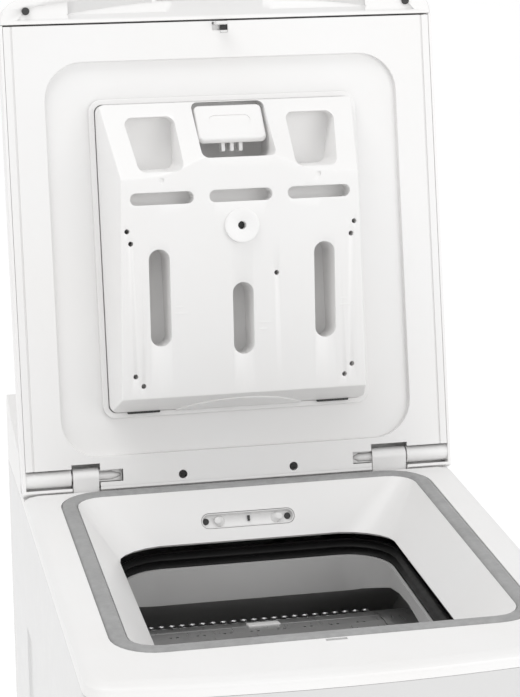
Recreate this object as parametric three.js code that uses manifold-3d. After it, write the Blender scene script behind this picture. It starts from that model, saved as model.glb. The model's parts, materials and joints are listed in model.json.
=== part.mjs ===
// Top loading washing machine, 40 cm class, with a horizontal drum and an open lid.
// Millimetres, +Z up, front towards -Y, +X to the right. The origin is on the floor, at the centre of
// the machine's bounding box.
import * as THREE from "three";
import { mergeVertices } from "three/addons/utils/BufferGeometryUtils.js";
import Module from "manifold-3d";

const wasm = await Module();
wasm.setup();

// ---------------------------------------------------------------- driving dimensions
const WIDTH = 400; // across the side panels
const DEPTH = 600; // front corners to rear panel
const FRONT_BOW = 15; // bulge of the front ahead of its corners
const RIM_Z = 848; // floor to the flat of the top plate
const CORNER = 22; // plan radius of the front corners
const SHEET = 1.2; // steel panels
const WALL = 3; // moulded walls
const GAP = 0.3; // between pieces that touch
const RUNNING = 0.5; // round a piece that moves in another

const PLATE = { skirt: 12, shoulder: 13, side: 29.5, front: 52.5 };
const SEAL = { band: 14.5, corner: 38, proud: 1.5, height: 9 };
const HOPPER = { narrowing: 31, depth: 38, dip: 8, corner: 42, wall: 2.5, neck: 6 };
const BELLOWS = { top: -47, bottom: -65, fold: 5, wall: 2 };
const NOZZLE = { halfWidth: 43, halfHeight: 7, thick: 4, drop: 26 };
const LOCK = { slotHalf: 8.4, slotGap: 2.2, height: 34, half: 32 };
const HINGE = { fromFront: 457, aboveRim: 11, pin: 3.75, barrel: 8, sweep: 14.7, block: 8 };
const BLOCKS = [
  { side: "left", from: -154.5, to: -131, tip: -111 },
  { side: "right", from: 125, to: 157, tip: 108 },
];

// On the lid, l is measured up from its tail and p out of its rim plane, on the inner side.
const LID = { lean: 11.8, tail: 13.1, short: 23.1, cap: 23, thick: 30, closedGap: 2, wall: 2.5 };
const LINER = { recess: 6, recessHalf: 163, recessFrom: 31, margin: 34.5, corner: 35 };
const GROOVE = { inset: 10, wide: 1.6, deep: 1.4 };
const DRAIN_HOLES = { xs: [-54, 49.5], l: 10, r: 4 };
const GRIP = { half: 60, lip: 7, wide: 10, corner: 4 };
const HOOK = { behindSeam: 3.5, halfWidth: 5.5, thick: 2.2, reach: 16 };
const BAY = { half: 124, from: 65, to: 355, lip: 5, proud: 5, corner: 12 };
const TRAY = { foot: 4, brow: 70, chin: 43, shoulder: 275, heel: 88, draft: 12, wall: 2.5 };
const POCKET = { from: 51, to: 96, low: 290, high: 337 };
const BUTTON = { half: 31, low: 314, high: 346, thick: 7, bayFrom: 297, margin: 2 };
const TALL_SLOTS = [[-75, 131, 218], [75, 131, 218], [0, 120, 185]]; // x, from l, to l
const TALL_SLOT_HALF = 9.5;
const FLAT_SLOTS = { xs: [-71, 0, 71], half: 28.5, from: 257.5, to: 268.5 };
const BOSS = { l: 236, r: 15.5, proud: 66.5, deep: 16.5, hole: 4 };

const CONSOLE = { front: 474.8, lip: 24, top: 55, wall: 3 };
const KNOB = { x: 128, r: 22, height: 16, fromFront: 525 };
const KEYS = { first: -20, pitch: 34, half: 11, deep: 6 };

const TUB = { fromWalls: 44, sideSpace: 45, wall: 3, belowRim: 74, aboveFloor: 200 };
const DRUM = { gap: 21, endGap: 13, wall: 2, hatchHalf: 105.5, front: -28, line: 17, rear: 23.6 };
const FLAP = { barrel: 2.6, above: 1.8, barrelHalf: 18, barrels: [-70, 0, 70] };
const LATCH = { half: 14.5, along: 7, angle: 11.6, thick: 5 };
const LIFTER = { height: 42, half: 26, endGap: 8, angles: [122, 232] };
const SHAFT = { r: 12.5, play: 0.7, hubWall: 19.5, hubLength: 10 };
const PULLEY = { r: 132, thick: 12, from: 17, small: 9.5 };
const BELT = { thick: 3, width: 10 };
const MOTOR = { back: 128, underTub: 92, r: 60, left: 92, right: 78, shaft: 8 };
const WEIGHT = { halfWidth: 104, clear: 2.5, reach: 40, fromThroat: 8.55, span: 18 };
const SPRING = { r: 10, wire: 1.8, turns: 5, lug: 154, hanger: 62, inset: 24 };
const DAMPER = { x: 70, fromFront: 255, wall: 5.4, piston: 10, play: 0.6, rod: 6, height: 112 };
const HEATER = { r: 3.8, radius: 244, spread: 25 };
const BASE = { floor: 14, top: 60, wall: 4 };
const PLINTH = { top: 92, thick: 2.5 };
const DOOR = { from: 72, to: 150, low: 34, high: 84 };
const FOOT = { r: 20, pad: 9, stem: 6, inset: 62 };
const PUMP = { x: 111, z: 106, r: 34, from: 72, to: 172, cap: 24 };
const PORT = { r: 13, side: 62, inlet: -104, drain: -190, cord: -250, cordR: 9 };

const HALF = WIDTH / 2;
const FRONT = -(DEPTH - FRONT_BOW) / 2;
const REAR = FRONT + DEPTH;
const TUB_R = Math.min(DEPTH / 2 - TUB.fromWalls, (RIM_Z - TUB.belowRim - TUB.aboveFloor) / 2);
const TUB_HALF = HALF - TUB.sideSpace;
const DRUM_R = TUB_R - TUB.wall - DRUM.gap;
const DRUM_HALF = TUB_HALF - TUB.wall - DRUM.endGap;
const AXIS_Y = FRONT + DEPTH / 2;
const AXIS_Z = RIM_Z - TUB.belowRim - TUB_R;
const OPENING_HALF = HALF - PLATE.side - SEAL.band;
const HUB_R = SHAFT.r + SHAFT.hubWall;
const SHAFT_BORE = SHAFT.r + SHAFT.play;
const LIP_L = HINGE.fromFront + LID.tail - LID.short;
const SEAM_L = LIP_L - LID.cap;
const HOOK_L = SEAM_L - HOOK.behindSeam;

// ---------------------------------------------------------------- solids from geometries
function plain(geometry) {
  const bare = new THREE.BufferGeometry();
  bare.setAttribute("position", geometry.getAttribute("position").clone());
  if (geometry.index) bare.setIndex(geometry.index.clone());
  return mergeVertices(bare, 1e-4);
}

// A manifold solid whose faces point out, whichever way its outline was drawn.
function solid(geometry) {
  const bare = plain(geometry);
  const vertProperties = new Float32Array(bare.getAttribute("position").array);
  const triVerts = new Uint32Array(bare.index.array);
  const made = new wasm.Manifold(new wasm.Mesh({ numProp: 3, vertProperties, triVerts }));
  if (made.volume() > 0) return made;
  for (let i = 0; i < triVerts.length; i += 3) {
    [triVerts[i + 1], triVerts[i + 2]] = [triVerts[i + 2], triVerts[i + 1]];
  }
  return new wasm.Manifold(new wasm.Mesh({ numProp: 3, vertProperties, triVerts }));
}

function geometryOf(body) {
  const { vertProperties, triVerts } = body.getMesh();
  const geometry = new THREE.BufferGeometry();
  geometry.setAttribute("position", new THREE.BufferAttribute(new Float32Array(vertProperties), 3));
  geometry.setIndex(new THREE.BufferAttribute(new Uint32Array(triVerts), 1));
  return geometry;
}

const join = (...parts) => geometryOf(parts.map(solid).reduce((a, b) => a.add(b)));
const cut = (body, ...tools) =>
  geometryOf(tools.map(solid).reduce((a, b) => a.subtract(b), solid(body)));
const common = (a, b) => geometryOf(solid(a).intersect(solid(b)));

// ---------------------------------------------------------------- shapes
const point = (x, y) => new THREE.Vector2(x, y);
const outline = (points) => new THREE.Shape(points.map(([x, y]) => point(x, y)));

function box([x0, x1], [y0, y1], [z0, z1]) {
  const made = new THREE.BoxGeometry(x1 - x0, y1 - y0, z1 - z0);
  return made.translate((x0 + x1) / 2, (y0 + y1) / 2, (z0 + z1) / 2);
}

function extrudeZ(shape, z0, z1) {
  const made = new THREE.ExtrudeGeometry(shape, { depth: z1 - z0, bevelEnabled: false, curveSegments: 4 });
  return made.translate(0, 0, z0);
}

// The outline lies in the YZ plane and is drawn out along X.
function extrudeX(shape, x0, x1) {
  const turn = new THREE.Matrix4().makeBasis(
    new THREE.Vector3(0, 1, 0), new THREE.Vector3(0, 0, 1), new THREE.Vector3(1, 0, 0));
  return extrudeZ(shape, x0, x1).applyMatrix4(turn);
}

// The outline lies in the XZ plane and is drawn out along Y.
function extrudeY(shape, y0, y1) {
  return extrudeZ(shape, -y1, -y0).rotateX(Math.PI / 2);
}

// A round bar along one axis; at gives its place on the other two axes, in X, Y, Z order.
function bar(axis, radius, from, to, at, sides = 20) {
  const made = new THREE.CylinderGeometry(radius, radius, to - from, sides);
  const middle = (from + to) / 2;
  if (axis === "x") return made.rotateZ(-Math.PI / 2).translate(middle, at[0], at[1]);
  if (axis === "y") return made.translate(at[0], middle, at[1]);
  return made.rotateX(Math.PI / 2).translate(at[0], at[1], middle);
}

// A profile of [radius, height] pairs spun about the Z axis.
function spun(profile, sides = 20) {
  return new THREE.LatheGeometry(profile.map(([r, h]) => point(r, h)), sides).rotateX(Math.PI / 2);
}

function roundedRect(x0, x1, y0, y1, radius) {
  const shape = new THREE.Shape();
  shape.absarc(x1 - radius, y1 - radius, radius, 0, Math.PI / 2);
  shape.absarc(x0 + radius, y1 - radius, radius, Math.PI / 2, Math.PI);
  shape.absarc(x0 + radius, y0 + radius, radius, Math.PI, Math.PI * 1.5);
  shape.absarc(x1 - radius, y0 + radius, radius, Math.PI * 1.5, Math.PI * 2);
  return shape;
}

// A rounded rectangle as a ring of 3-D points; height is a number or a function of x and y.
function ring(x0, x1, y0, y1, radius, height, steps = 5) {
  const corners = [[x1 - radius, y1 - radius, 0], [x0 + radius, y1 - radius, 1],
    [x0 + radius, y0 + radius, 2], [x1 - radius, y0 + radius, 3]];
  const points = [];
  for (const [cx, cy, quarter] of corners) {
    for (let i = 0; i <= steps; i++) {
      const a = (quarter + i / steps) * Math.PI / 2;
      const [x, y] = [cx + radius * Math.cos(a), cy + radius * Math.sin(a)];
      points.push(new THREE.Vector3(x, y, typeof height === "number" ? height : height(x, y)));
    }
  }
  return points;
}

function surface(points, triangles) {
  const geometry = new THREE.BufferGeometry().setFromPoints(points);
  geometry.setIndex(triangles);
  return geometry;
}

// A closed tube wall: each ring joins the next, and the last joins the first.
function sleeve(rings) {
  const n = rings[0].length;
  const triangles = [];
  rings.forEach((_, k) => {
    const [a, b] = [k * n, ((k + 1) % rings.length) * n];
    for (let i = 0; i < n; i++) {
      const j = (i + 1) % n;
      triangles.push(a + i, a + j, b + j, a + i, b + j, b + i);
    }
  });
  return surface(rings.flat(), triangles);
}

// A solid between a stack of level outlines, closed by its first and last outline.
function loft(outlines) {
  const n = outlines[0].points.length;
  const points = outlines.flatMap(({ points: ps, z }) => ps.map((p) => new THREE.Vector3(p.x, p.y, z)));
  const triangles = [];
  for (let k = 0; k < outlines.length - 1; k++) {
    for (let i = 0; i < n; i++) {
      const j = (i + 1) % n;
      triangles.push(k * n + i, k * n + j, k * n + n + j, k * n + i, k * n + n + j, k * n + n + i);
    }
  }
  const last = (outlines.length - 1) * n;
  for (const [a, b, c] of THREE.ShapeUtils.triangulateShape(outlines[0].points, [])) {
    triangles.push(c, b, a);
  }
  for (const [a, b, c] of THREE.ShapeUtils.triangulateShape(outlines.at(-1).points, [])) {
    triangles.push(last + a, last + b, last + c);
  }
  return surface(points, triangles);
}

// A pressed sheet over a grid: depth(u, v) is how far the face is pushed in; place puts it in space.
function pressedSheet(us, vs, depth, place) {
  const [m, n] = [us.length, vs.length];
  const face = (w) => us.flatMap((u) => vs.map((v) => place(u, v, depth(u, v) + w)));
  const triangles = [];
  const at = (side, i, j) => side * m * n + i * n + j;
  for (let i = 0; i < m - 1; i++) {
    for (let j = 0; j < n - 1; j++) {
      for (const side of [0, 1]) {
        const [a, b, c, d] = [at(side, i, j), at(side, i + 1, j), at(side, i + 1, j + 1), at(side, i, j + 1)];
        if (side === 0) triangles.push(a, b, c, a, c, d);
        else triangles.push(a, c, b, a, d, c);
      }
    }
  }
  const edge = [];
  for (let i = 0; i < m; i++) edge.push([i, 0]);
  for (let j = 1; j < n; j++) edge.push([m - 1, j]);
  for (let i = m - 2; i >= 0; i--) edge.push([i, n - 1]);
  for (let j = n - 2; j > 0; j--) edge.push([0, j]);
  edge.forEach(([i, j], k) => {
    const [p, q] = edge[(k + 1) % edge.length];
    const [a, b, c, d] = [at(0, i, j), at(0, p, q), at(1, p, q), at(1, i, j)];
    triangles.push(a, c, b, a, d, c);
  });
  return surface([...face(0), ...face(SHEET)], triangles);
}

class Coil extends THREE.Curve {
  constructor(radius, length, turns) {
    super();
    Object.assign(this, { radius, length, turns });
  }
  getPoint(t, target = new THREE.Vector3()) {
    const a = t * this.turns * Math.PI * 2;
    return target.set(this.radius * Math.cos(a), this.radius * Math.sin(a), t * this.length);
  }
}

// A round wire or pipe along a curve.
function pipe(curve, radius, steps, sides = 8) {
  const section = Array.from({ length: sides }, (_, i) => {
    const a = (i / sides) * Math.PI * 2;
    return [radius * Math.cos(a), radius * Math.sin(a)];
  });
  return new THREE.ExtrudeGeometry(outline(section), { steps, extrudePath: curve, bevelEnabled: false });
}

// A stretch of curved sheet round the drum axis. Angles are in degrees from straight up, rearwards.
function sector(r0, r1, from, to, steps = 6) {
  const arc = (r, a, b) => Array.from({ length: steps + 1 }, (_, i) => {
    const angle = THREE.MathUtils.degToRad(a + ((b - a) * i) / steps);
    return [AXIS_Y + r * Math.sin(angle), AXIS_Z + r * Math.cos(angle)];
  });
  return outline([...arc(r1, from, to), ...arc(r0, to, from)]);
}

// ---------------------------------------------------------------- cabinet outlines
const bowAt = (x) => FRONT - FRONT_BOW * (1 - (x / HALF) ** 2);

// The bowed front in plan, from the left side round to the right side, moved in by inset.
function frontPath(inset) {
  const r = Math.max(CORNER - inset, 4);
  const centreX = HALF - inset - r;
  const lean = Math.atan((2 * FRONT_BOW * centreX) / HALF ** 2);
  const endX = centreX + r * Math.sin(lean);
  const centreY = bowAt(endX) + inset + r * Math.cos(lean);
  const right = Array.from({ length: 6 }, (_, i) => {
    const a = -Math.PI / 2 + lean + (i / 5) * (Math.PI / 2 - lean);
    return point(centreX + r * Math.cos(a), centreY + r * Math.sin(a));
  });
  const left = right.map((p) => point(-p.x, p.y)).reverse();
  const bow = Array.from({ length: 9 }, (_, i) => {
    const x = endX * ((i + 1) / 5 - 1);
    return point(x, bowAt(x) + inset);
  });
  return [...left, ...bow, ...right];
}

const planOutline = (inset, rearY) => [
  ...frontPath(inset), point(HALF - inset, rearY), point(inset - HALF, rearY)];

// A curved sheet that follows the front and returns along both sides as far back as returnY.
function frontSheet(thick, z0, z1, returnY) {
  const wall = (inset) => [point(inset - HALF, returnY), ...frontPath(inset), point(HALF - inset, returnY)];
  return extrudeZ(new THREE.Shape([...wall(0), ...wall(thick).reverse()]), z0, z1);
}

// ---------------------------------------------------------------- materials and meshes
const finish = (color, roughness, metalness = 0) => () =>
  new THREE.MeshStandardMaterial({ color, roughness, metalness });
const white = finish(0xf1f1ee, 0.35);
const enamel = finish(0xe8e9e8, 0.3, 0.1);
const softGrey = finish(0x8b8e91, 0.6);
const tubGrey = finish(0xa6a8a8, 0.5);
const rubber = finish(0x1d1d1f, 0.8);
const steel = finish(0xc6c9cc, 0.25, 1);
const dark = finish(0x2b2c2e, 0.6);
const castIron = finish(0x55585a, 0.7, 0.4);
const galvanised = finish(0xaeb3b5, 0.45, 0.9);
const board = finish(0x1f5a3a, 0.6);

const machine = new THREE.Group();
function add(name, geometry, material, parent = machine) {
  const mesh = new THREE.Mesh(geometryOf(solid(geometry)), material());
  mesh.name = name;
  parent.add(mesh);
  return mesh;
}

// ---------------------------------------------------------------- cabinet
const PANEL_TOP = RIM_Z - PLATE.skirt - GAP;
const RETURN_Y = FRONT + CORNER + 4;
const HANGER_Z = RIM_Z - SPRING.hanger;
const SPRING_X = HALF - SPRING.inset;

for (const [name, side] of [["left", -1], ["right", 1]]) {
  const fieldTop = RIM_Z - 128;
  const ys = [RETURN_Y + GAP, RETURN_Y + 16, RETURN_Y + 24, REAR - 152, REAR - 144, REAR];
  const zs = [BASE.floor, BASE.top + 40, BASE.top + 48, fieldTop - 8, fieldTop, PANEL_TOP];
  const inField = (u, v) => u > ys[1] && u < ys[4] && v > zs[1] && v < zs[4];
  const panel = pressedSheet(ys, zs, (u, v) => (inField(u, v) ? 2 : 0),
    (u, v, w) => new THREE.Vector3(side * (HALF - w), u, v));
  const tab = side > 0 ? [SPRING_X - 12, HALF - SHEET / 2] : [SHEET / 2 - HALF, 12 - SPRING_X];
  const hanger = box(tab, [AXIS_Y - 14, AXIS_Y + 14], [HANGER_Z, HANGER_Z + 5]);
  add(`side_panel_${name}`, join(panel, hanger), enamel);
}

add("front_panel", frontSheet(SHEET, PLINTH.top + 2, PANEL_TOP, RETURN_Y), enamel);

function rearPanel() {
  const half = HALF - SHEET - GAP;
  const sheet = box([-half, half], [REAR - SHEET, REAR], [BASE.floor + 6, PANEL_TOP]);
  const hole = (r, x, z) => bar("y", r + RUNNING, REAR - 5, REAR + 5, [x, RIM_Z + z]);
  return cut(sheet, hole(PORT.r, PORT.side - HALF, PORT.inlet), hole(PORT.r, HALF - PORT.side, PORT.drain),
    hole(PORT.cordR, PORT.side - HALF, PORT.cord));
}
add("rear_panel", rearPanel(), galvanised);

const DOOR_TAB = { high: 6, low: 3 };
const plinthSheet = frontSheet(PLINTH.thick, BASE.floor, PLINTH.top, RETURN_Y);
const doorway = (grow) => box([DOOR.from - grow, DOOR.to + grow], [FRONT - 40, FRONT + 10],
  [DOOR.low - grow, DOOR.high + grow]);
add("plinth", cut(plinthSheet, doorway(GAP + 0.4)), white);
const doorMiddle = (DOOR.from + DOOR.to) / 2;
const doorBack = bowAt(doorMiddle) + PLINTH.thick;
const doorLip = box([doorMiddle - 12, doorMiddle + 12], [doorBack - 1, doorBack + 4],
  [DOOR.high - DOOR_TAB.high, DOOR.high - DOOR_TAB.low]);
add("filter_door", join(common(plinthSheet, doorway(0)), doorLip), white);

const FEET = [
  { name: "front_left", x: FOOT.inset - HALF, y: FRONT + FOOT.inset, screws: true },
  { name: "front_right", x: HALF - FOOT.inset, y: FRONT + FOOT.inset, screws: true },
  { name: "rear_left", x: FOOT.inset - HALF, y: REAR - FOOT.inset, screws: false },
  { name: "rear_right", x: HALF - FOOT.inset, y: REAR - FOOT.inset, screws: false },
];

function baseTray() {
  const x = HALF - SHEET - 2 - GAP;
  const [y0, y1] = [RETURN_Y + 2, REAR - SHEET - GAP];
  const shell = box([-x, x], [y0, y1], [BASE.floor, BASE.top]);
  const inside = box([BASE.wall - x, x - BASE.wall], [y0 + BASE.wall, y1 - BASE.wall],
    [BASE.floor + BASE.wall, BASE.top + 1]);
  const underEachFoot = (r, low, high) =>
    FEET.map(({ x: fx, y: fy }) => bar("z", r, BASE.floor + low, BASE.floor + high, [fx, fy], 16));
  const bosses = underEachFoot(FOOT.stem + 6, 0, 26);
  const bores = underEachFoot(FOOT.stem + RUNNING, -1, 40);
  const capWay = box([PUMP.x - PUMP.cap - 4, PUMP.x + PUMP.cap + 4], [y0 - 1, y0 + BASE.wall + 1],
    [BASE.top - 12, BASE.top + 1]);
  const drainHole = box([-60, 40], [AXIS_Y - 4, AXIS_Y + 90], [BASE.floor - 1, BASE.floor + BASE.wall + 1]);
  return cut(join(cut(shell, inside), ...bosses), ...bores, capWay, drainHole);
}
add("base_tray", baseTray(), dark);

for (const foot of FEET) {
  const stem = foot.screws ? 34 : 22;
  const profile = [[0, 0], [FOOT.r - 2, 0], [FOOT.r, 2], [FOOT.r, FOOT.pad], [FOOT.stem, FOOT.pad + 2],
    [FOOT.stem, BASE.floor + stem - 8], [0, BASE.floor + stem - 8]];
  const mesh = add(`foot_${foot.name}`, spun(profile, 16), rubber);
  mesh.position.set(foot.x, foot.y, 0);
}

// ---------------------------------------------------------------- top plate
const HINGE_Y = FRONT + HINGE.fromFront;
const HINGE_Z = RIM_Z + HINGE.aboveRim;
const TROUGH_FRONT = HINGE_Y - HINGE.sweep + 2.7;
const TROUGH_Z = HINGE_Z - HINGE.sweep - 1.8;
const PLATE_REAR = FRONT + CONSOLE.front - GAP;
const SEAL_FRONT = FRONT + PLATE.front + 0.5;
const SEAL_REAR = TROUGH_FRONT - 0.5;
const SEAL_HALF = HALF - PLATE.side;
const LOCK_Y = HINGE_Y + LID.tail - HOOK_L;

function knuckle(from, to) {
  const r = HINGE.block;
  const shape = new THREE.Shape();
  shape.moveTo(HINGE_Y - r, TROUGH_Z - 1);
  shape.lineTo(HINGE_Y + r, TROUGH_Z - 1);
  shape.lineTo(HINGE_Y + r, HINGE_Z);
  shape.absarc(HINGE_Y, HINGE_Z, r, 0, Math.PI);
  return extrudeX(shape, from, to);
}

function topPlate() {
  const level = (inset, rear, z) => ({ points: planOutline(inset, rear), z: RIM_Z + z });
  const edge = [[0, -PLATE.skirt], [0, -6], [1.2, -3.6], [5, -1.3], [PLATE.shoulder, 0]];
  const skin = loft(edge.map(([inset, z]) => level(inset, PLATE_REAR, z)));
  const hollow = extrudeZ(new THREE.Shape(planOutline(WALL, TROUGH_FRONT - WALL)),
    RIM_Z - PLATE.skirt - 1, RIM_Z - WALL - 1.5);
  const rearHollow = box([WALL - HALF, HALF - WALL], [TROUGH_FRONT - WALL - 1, PLATE_REAR - WALL],
    [RIM_Z - PLATE.skirt - 1, TROUGH_Z - WALL]);
  const trough = box([-HALF - 1, HALF + 1], [TROUGH_FRONT, PLATE_REAR + 1], [TROUGH_Z, RIM_Z + 5]);
  const mouth = extrudeZ(roundedRect(-SEAL_HALF, SEAL_HALF, SEAL_FRONT, SEAL_REAR, SEAL.corner),
    RIM_Z - 30, RIM_Z + 10);
  const slot = box([-LOCK.slotHalf, LOCK.slotHalf], [LOCK_Y - LOCK.slotGap, LOCK_Y + LOCK.slotGap],
    [RIM_Z - 30, RIM_Z + 5]);
  const plate = cut(skin, hollow, rearHollow, trough, mouth, slot);
  const bores = bar("x", HINGE.pin + RUNNING, -HALF, HALF, [HINGE_Y, HINGE_Z], 16);
  return cut(join(plate, ...BLOCKS.map(({ from, to }) => knuckle(from, to))), bores);
}
add("top_plate", topPlate(), white);

for (const { side, from, to, tip } of BLOCKS) {
  const outer = side === "left" ? 12 - HALF : HALF - 12;
  const inner = side === "left" ? to + 12 : from - 12;
  const turn = Math.sign(tip - inner);
  const length = Math.abs(inner - outer);
  const profile = [[0, 0], [HINGE.pin, 0], [HINGE.pin, length], [1.2, length + Math.abs(tip - inner)],
    [0, length + Math.abs(tip - inner)]];
  const pin = add(`hinge_pin_${side}`, spun(profile, 12), white);
  pin.rotation.y = (turn * Math.PI) / 2;
  pin.position.set(outer, HINGE_Y, HINGE_Z);
}

// The seal sits in the gap between plate and hopper, on the hopper's flange.
function doorSeal() {
  const out = (inset, z) => ring(inset - SEAL_HALF, SEAL_HALF - inset, SEAL_FRONT + inset, SEAL_REAR - inset,
    SEAL.corner - inset, RIM_Z + z);
  const base = SEAL.proud - SEAL.height;
  return sleeve([out(GAP, base), out(GAP, -0.5), out(3, SEAL.proud), out(SEAL.band - 3, SEAL.proud),
    out(SEAL.band, -0.5), out(SEAL.band, base)]);
}
add("door_seal", doorSeal(), softGrey);

const FUNNEL = {
  half: OPENING_HALF - GAP, front: SEAL_FRONT + SEAL.band + GAP, rear: SEAL_REAR - SEAL.band - GAP,
};
const NECK = {
  half: FUNNEL.half - HOPPER.narrowing, front: FUNNEL.front + HOPPER.narrowing - 2,
  rear: FUNNEL.rear - HOPPER.narrowing + 7,
};
// The neck's edge dips towards the rear corners.
function neckHeight(x, y) {
  const along = Math.max(0, (y - (NECK.front + NECK.rear) / 2) / ((NECK.rear - NECK.front) / 2)) ** 4;
  return -HOPPER.depth - along * (HOPPER.dip / 2 + (HOPPER.dip / 2) * (x / NECK.half) ** 4);
}
const neckRing = (grow, z) => ring(-NECK.half - grow, NECK.half + grow, NECK.front - grow, NECK.rear + grow,
  HOPPER.corner + grow, z);

function hopper() {
  const w = HOPPER.wall;
  const mouth = (grow, z) => ring(-FUNNEL.half - grow, FUNNEL.half + grow, FUNNEL.front - grow,
    FUNNEL.rear + grow, SEAL.corner - SEAL.band + grow, RIM_Z + z);
  const edge = (grow, down) => neckRing(grow, (x, y) => RIM_Z + neckHeight(x, y) - down);
  const flange = SEAL.band - 1;
  const base = SEAL.proud - SEAL.height - GAP;
  return sleeve([mouth(0, -0.5), edge(0, 0), edge(w, HOPPER.neck - 4), mouth(w, base - w),
    mouth(flange, base - w), mouth(flange, base), mouth(0.1, base)]);
}

// The rear wall of the funnel leans by this angle from upright.
const funnelLean = Math.atan2(FUNNEL.rear - NECK.rear, HOPPER.depth + HOPPER.dip / 2);
const nozzleSeat = new THREE.Matrix4().makeRotationX(Math.PI / 2 - funnelLean).setPosition(
  0, FUNNEL.rear - NOZZLE.drop * Math.tan(funnelLean), RIM_Z - NOZZLE.drop);
const stadium = (grow) => roundedRect(-NOZZLE.halfWidth - grow, NOZZLE.halfWidth + grow,
  -NOZZLE.halfHeight - grow, NOZZLE.halfHeight + grow, NOZZLE.halfHeight + grow - 0.01);
const seated = (geometry) => geometry.applyMatrix4(nozzleSeat);
add("hopper", cut(hopper(), seated(extrudeZ(stadium(GAP), -20, 20))), white);

function nozzlePlate() {
  const back = extrudeZ(stadium(0), -HOPPER.wall - 4, -HOPPER.wall + 0.5);
  const mouths = [-27, 28].map((x) => bar("z", 3.6, -HOPPER.wall, 1.5, [x, 0], 12));
  const holes = [-38, 37].map((x) => bar("z", 2.8, -HOPPER.wall - 2.5, 6, [x, 0], 12));
  const jets = [-27, 28].map((x) => bar("z", 1.6, -HOPPER.wall, 6, [x, 0], 10));
  return seated(cut(join(back, ...mouths), ...holes, ...jets));
}
add("spray_nozzle", nozzlePlate(), white);

// Two folds of thin rubber from the hopper's neck to the tub's throat.
const THROAT = { half: NECK.half - 3, front: NECK.front + 3, rear: NECK.rear - 3, corner: HOPPER.corner - 3 };
function bellows() {
  const count = 4;
  const inner = [];
  const outer = [];
  for (let i = 0; i <= count; i++) {
    const z = RIM_Z + BELLOWS.top + ((BELLOWS.bottom + GAP - BELLOWS.top) * i) / count;
    const swell = i % 2 ? BELLOWS.fold : 0;
    const dip = (x, y) => z + (neckHeight(x, y) + HOPPER.depth) * (1 - i / count) * 0.6;
    inner.push(neckRing(swell + 1, dip));
    outer.push(neckRing(swell + 1 + BELLOWS.wall, dip));
  }
  return sleeve([...inner, ...outer.reverse()]);
}
add("bellows", bellows(), rubber);

function doorLock() {
  const body = box([-LOCK.half, LOCK.half], [LOCK_Y - 16, SEAL_FRONT],
    [RIM_Z - 6 - LOCK.height, RIM_Z - WALL - 1.5 - GAP]);
  const half = LOCK.slotHalf + 1;
  const well = box([-half, half], [LOCK_Y - LOCK.slotGap - 1, LOCK_Y + LOCK.slotGap], [RIM_Z - 30, RIM_Z]);
  return cut(body, well);
}
add("door_lock", doorLock(), dark);

// ---------------------------------------------------------------- console
const CONSOLE_Y = FRONT + CONSOLE.front;
const consoleDepth = REAR - CONSOLE_Y;
// The side outline as [share of the depth, height above the rim] pairs; the keys sit on its long slope.
const slopeFrom = { share: 0.1118, rise: CONSOLE.lip + 4 };
const slopeTo = { share: 0.7029, rise: CONSOLE.lip + 19 };
const consoleOutline = [[0, -PLATE.skirt + GAP], [0, 8], [0.0719, CONSOLE.lip + 2],
  [slopeFrom.share, slopeFrom.rise], [slopeTo.share, slopeTo.rise], [0.8147, CONSOLE.top - 5],
  [0.8786, CONSOLE.top - 1], [0.9185, CONSOLE.top], [0.9585, CONSOLE.top - 2], [0.9904, CONSOLE.top - 8],
  [1, CONSOLE.top - 13], [1, -PLATE.skirt + GAP]];
const consolePoints = consoleOutline.map(([share, h]) => [CONSOLE_Y + share * consoleDepth, RIM_Z + h]);
const slopeRun = (slopeTo.share - slopeFrom.share) * consoleDepth;
const slopeRise = slopeTo.rise - slopeFrom.rise;
const slopeAngle = Math.atan2(slopeRise, slopeRun);
const slopeZ = (y) =>
  RIM_Z + slopeFrom.rise + ((y - CONSOLE_Y - slopeFrom.share * consoleDepth) * slopeRise) / slopeRun;
const KNOB_Y = FRONT + KNOB.fromFront;
const KEY_NAMES = ["start", "spin"];

// Puts a piece drawn upright round the origin on the console's slope, square to it.
function onSlope(mesh, x) {
  mesh.rotation.x = slopeAngle;
  mesh.position.set(x, KNOB_Y, slopeZ(KNOB_Y));
}
const slopeTool = (geometry, x) => geometry.rotateX(slopeAngle).translate(x, KNOB_Y, slopeZ(KNOB_Y));

function consoleHousing() {
  const w = CONSOLE.wall;
  const outer = extrudeX(outline(consolePoints), -HALF, HALF);
  const middle = [CONSOLE_Y + consoleDepth / 2, RIM_Z];
  const inset = ([y, z]) => [
    y < middle[0] ? Math.max(y + w * 0.2, CONSOLE_Y + w) : Math.min(y - w * 0.4, REAR - w), z - w];
  const inner = extrudeX(outline(consolePoints.map(inset)), w - HALF, HALF - w);
  const keyHoles = KEY_NAMES.map((_, i) => slopeTool(
    box([-KEYS.half - RUNNING, KEYS.half + RUNNING], [-KEYS.deep - RUNNING, KEYS.deep + RUNNING], [-12, 12]),
    KEYS.first + i * KEYS.pitch));
  const shaftHole = slopeTool(bar("z", 5 + RUNNING, -12, 12, [0, 0], 16), KNOB.x);
  return cut(outer, inner, ...keyHoles, shaftHole);
}
add("console", consoleHousing(), white);

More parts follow.
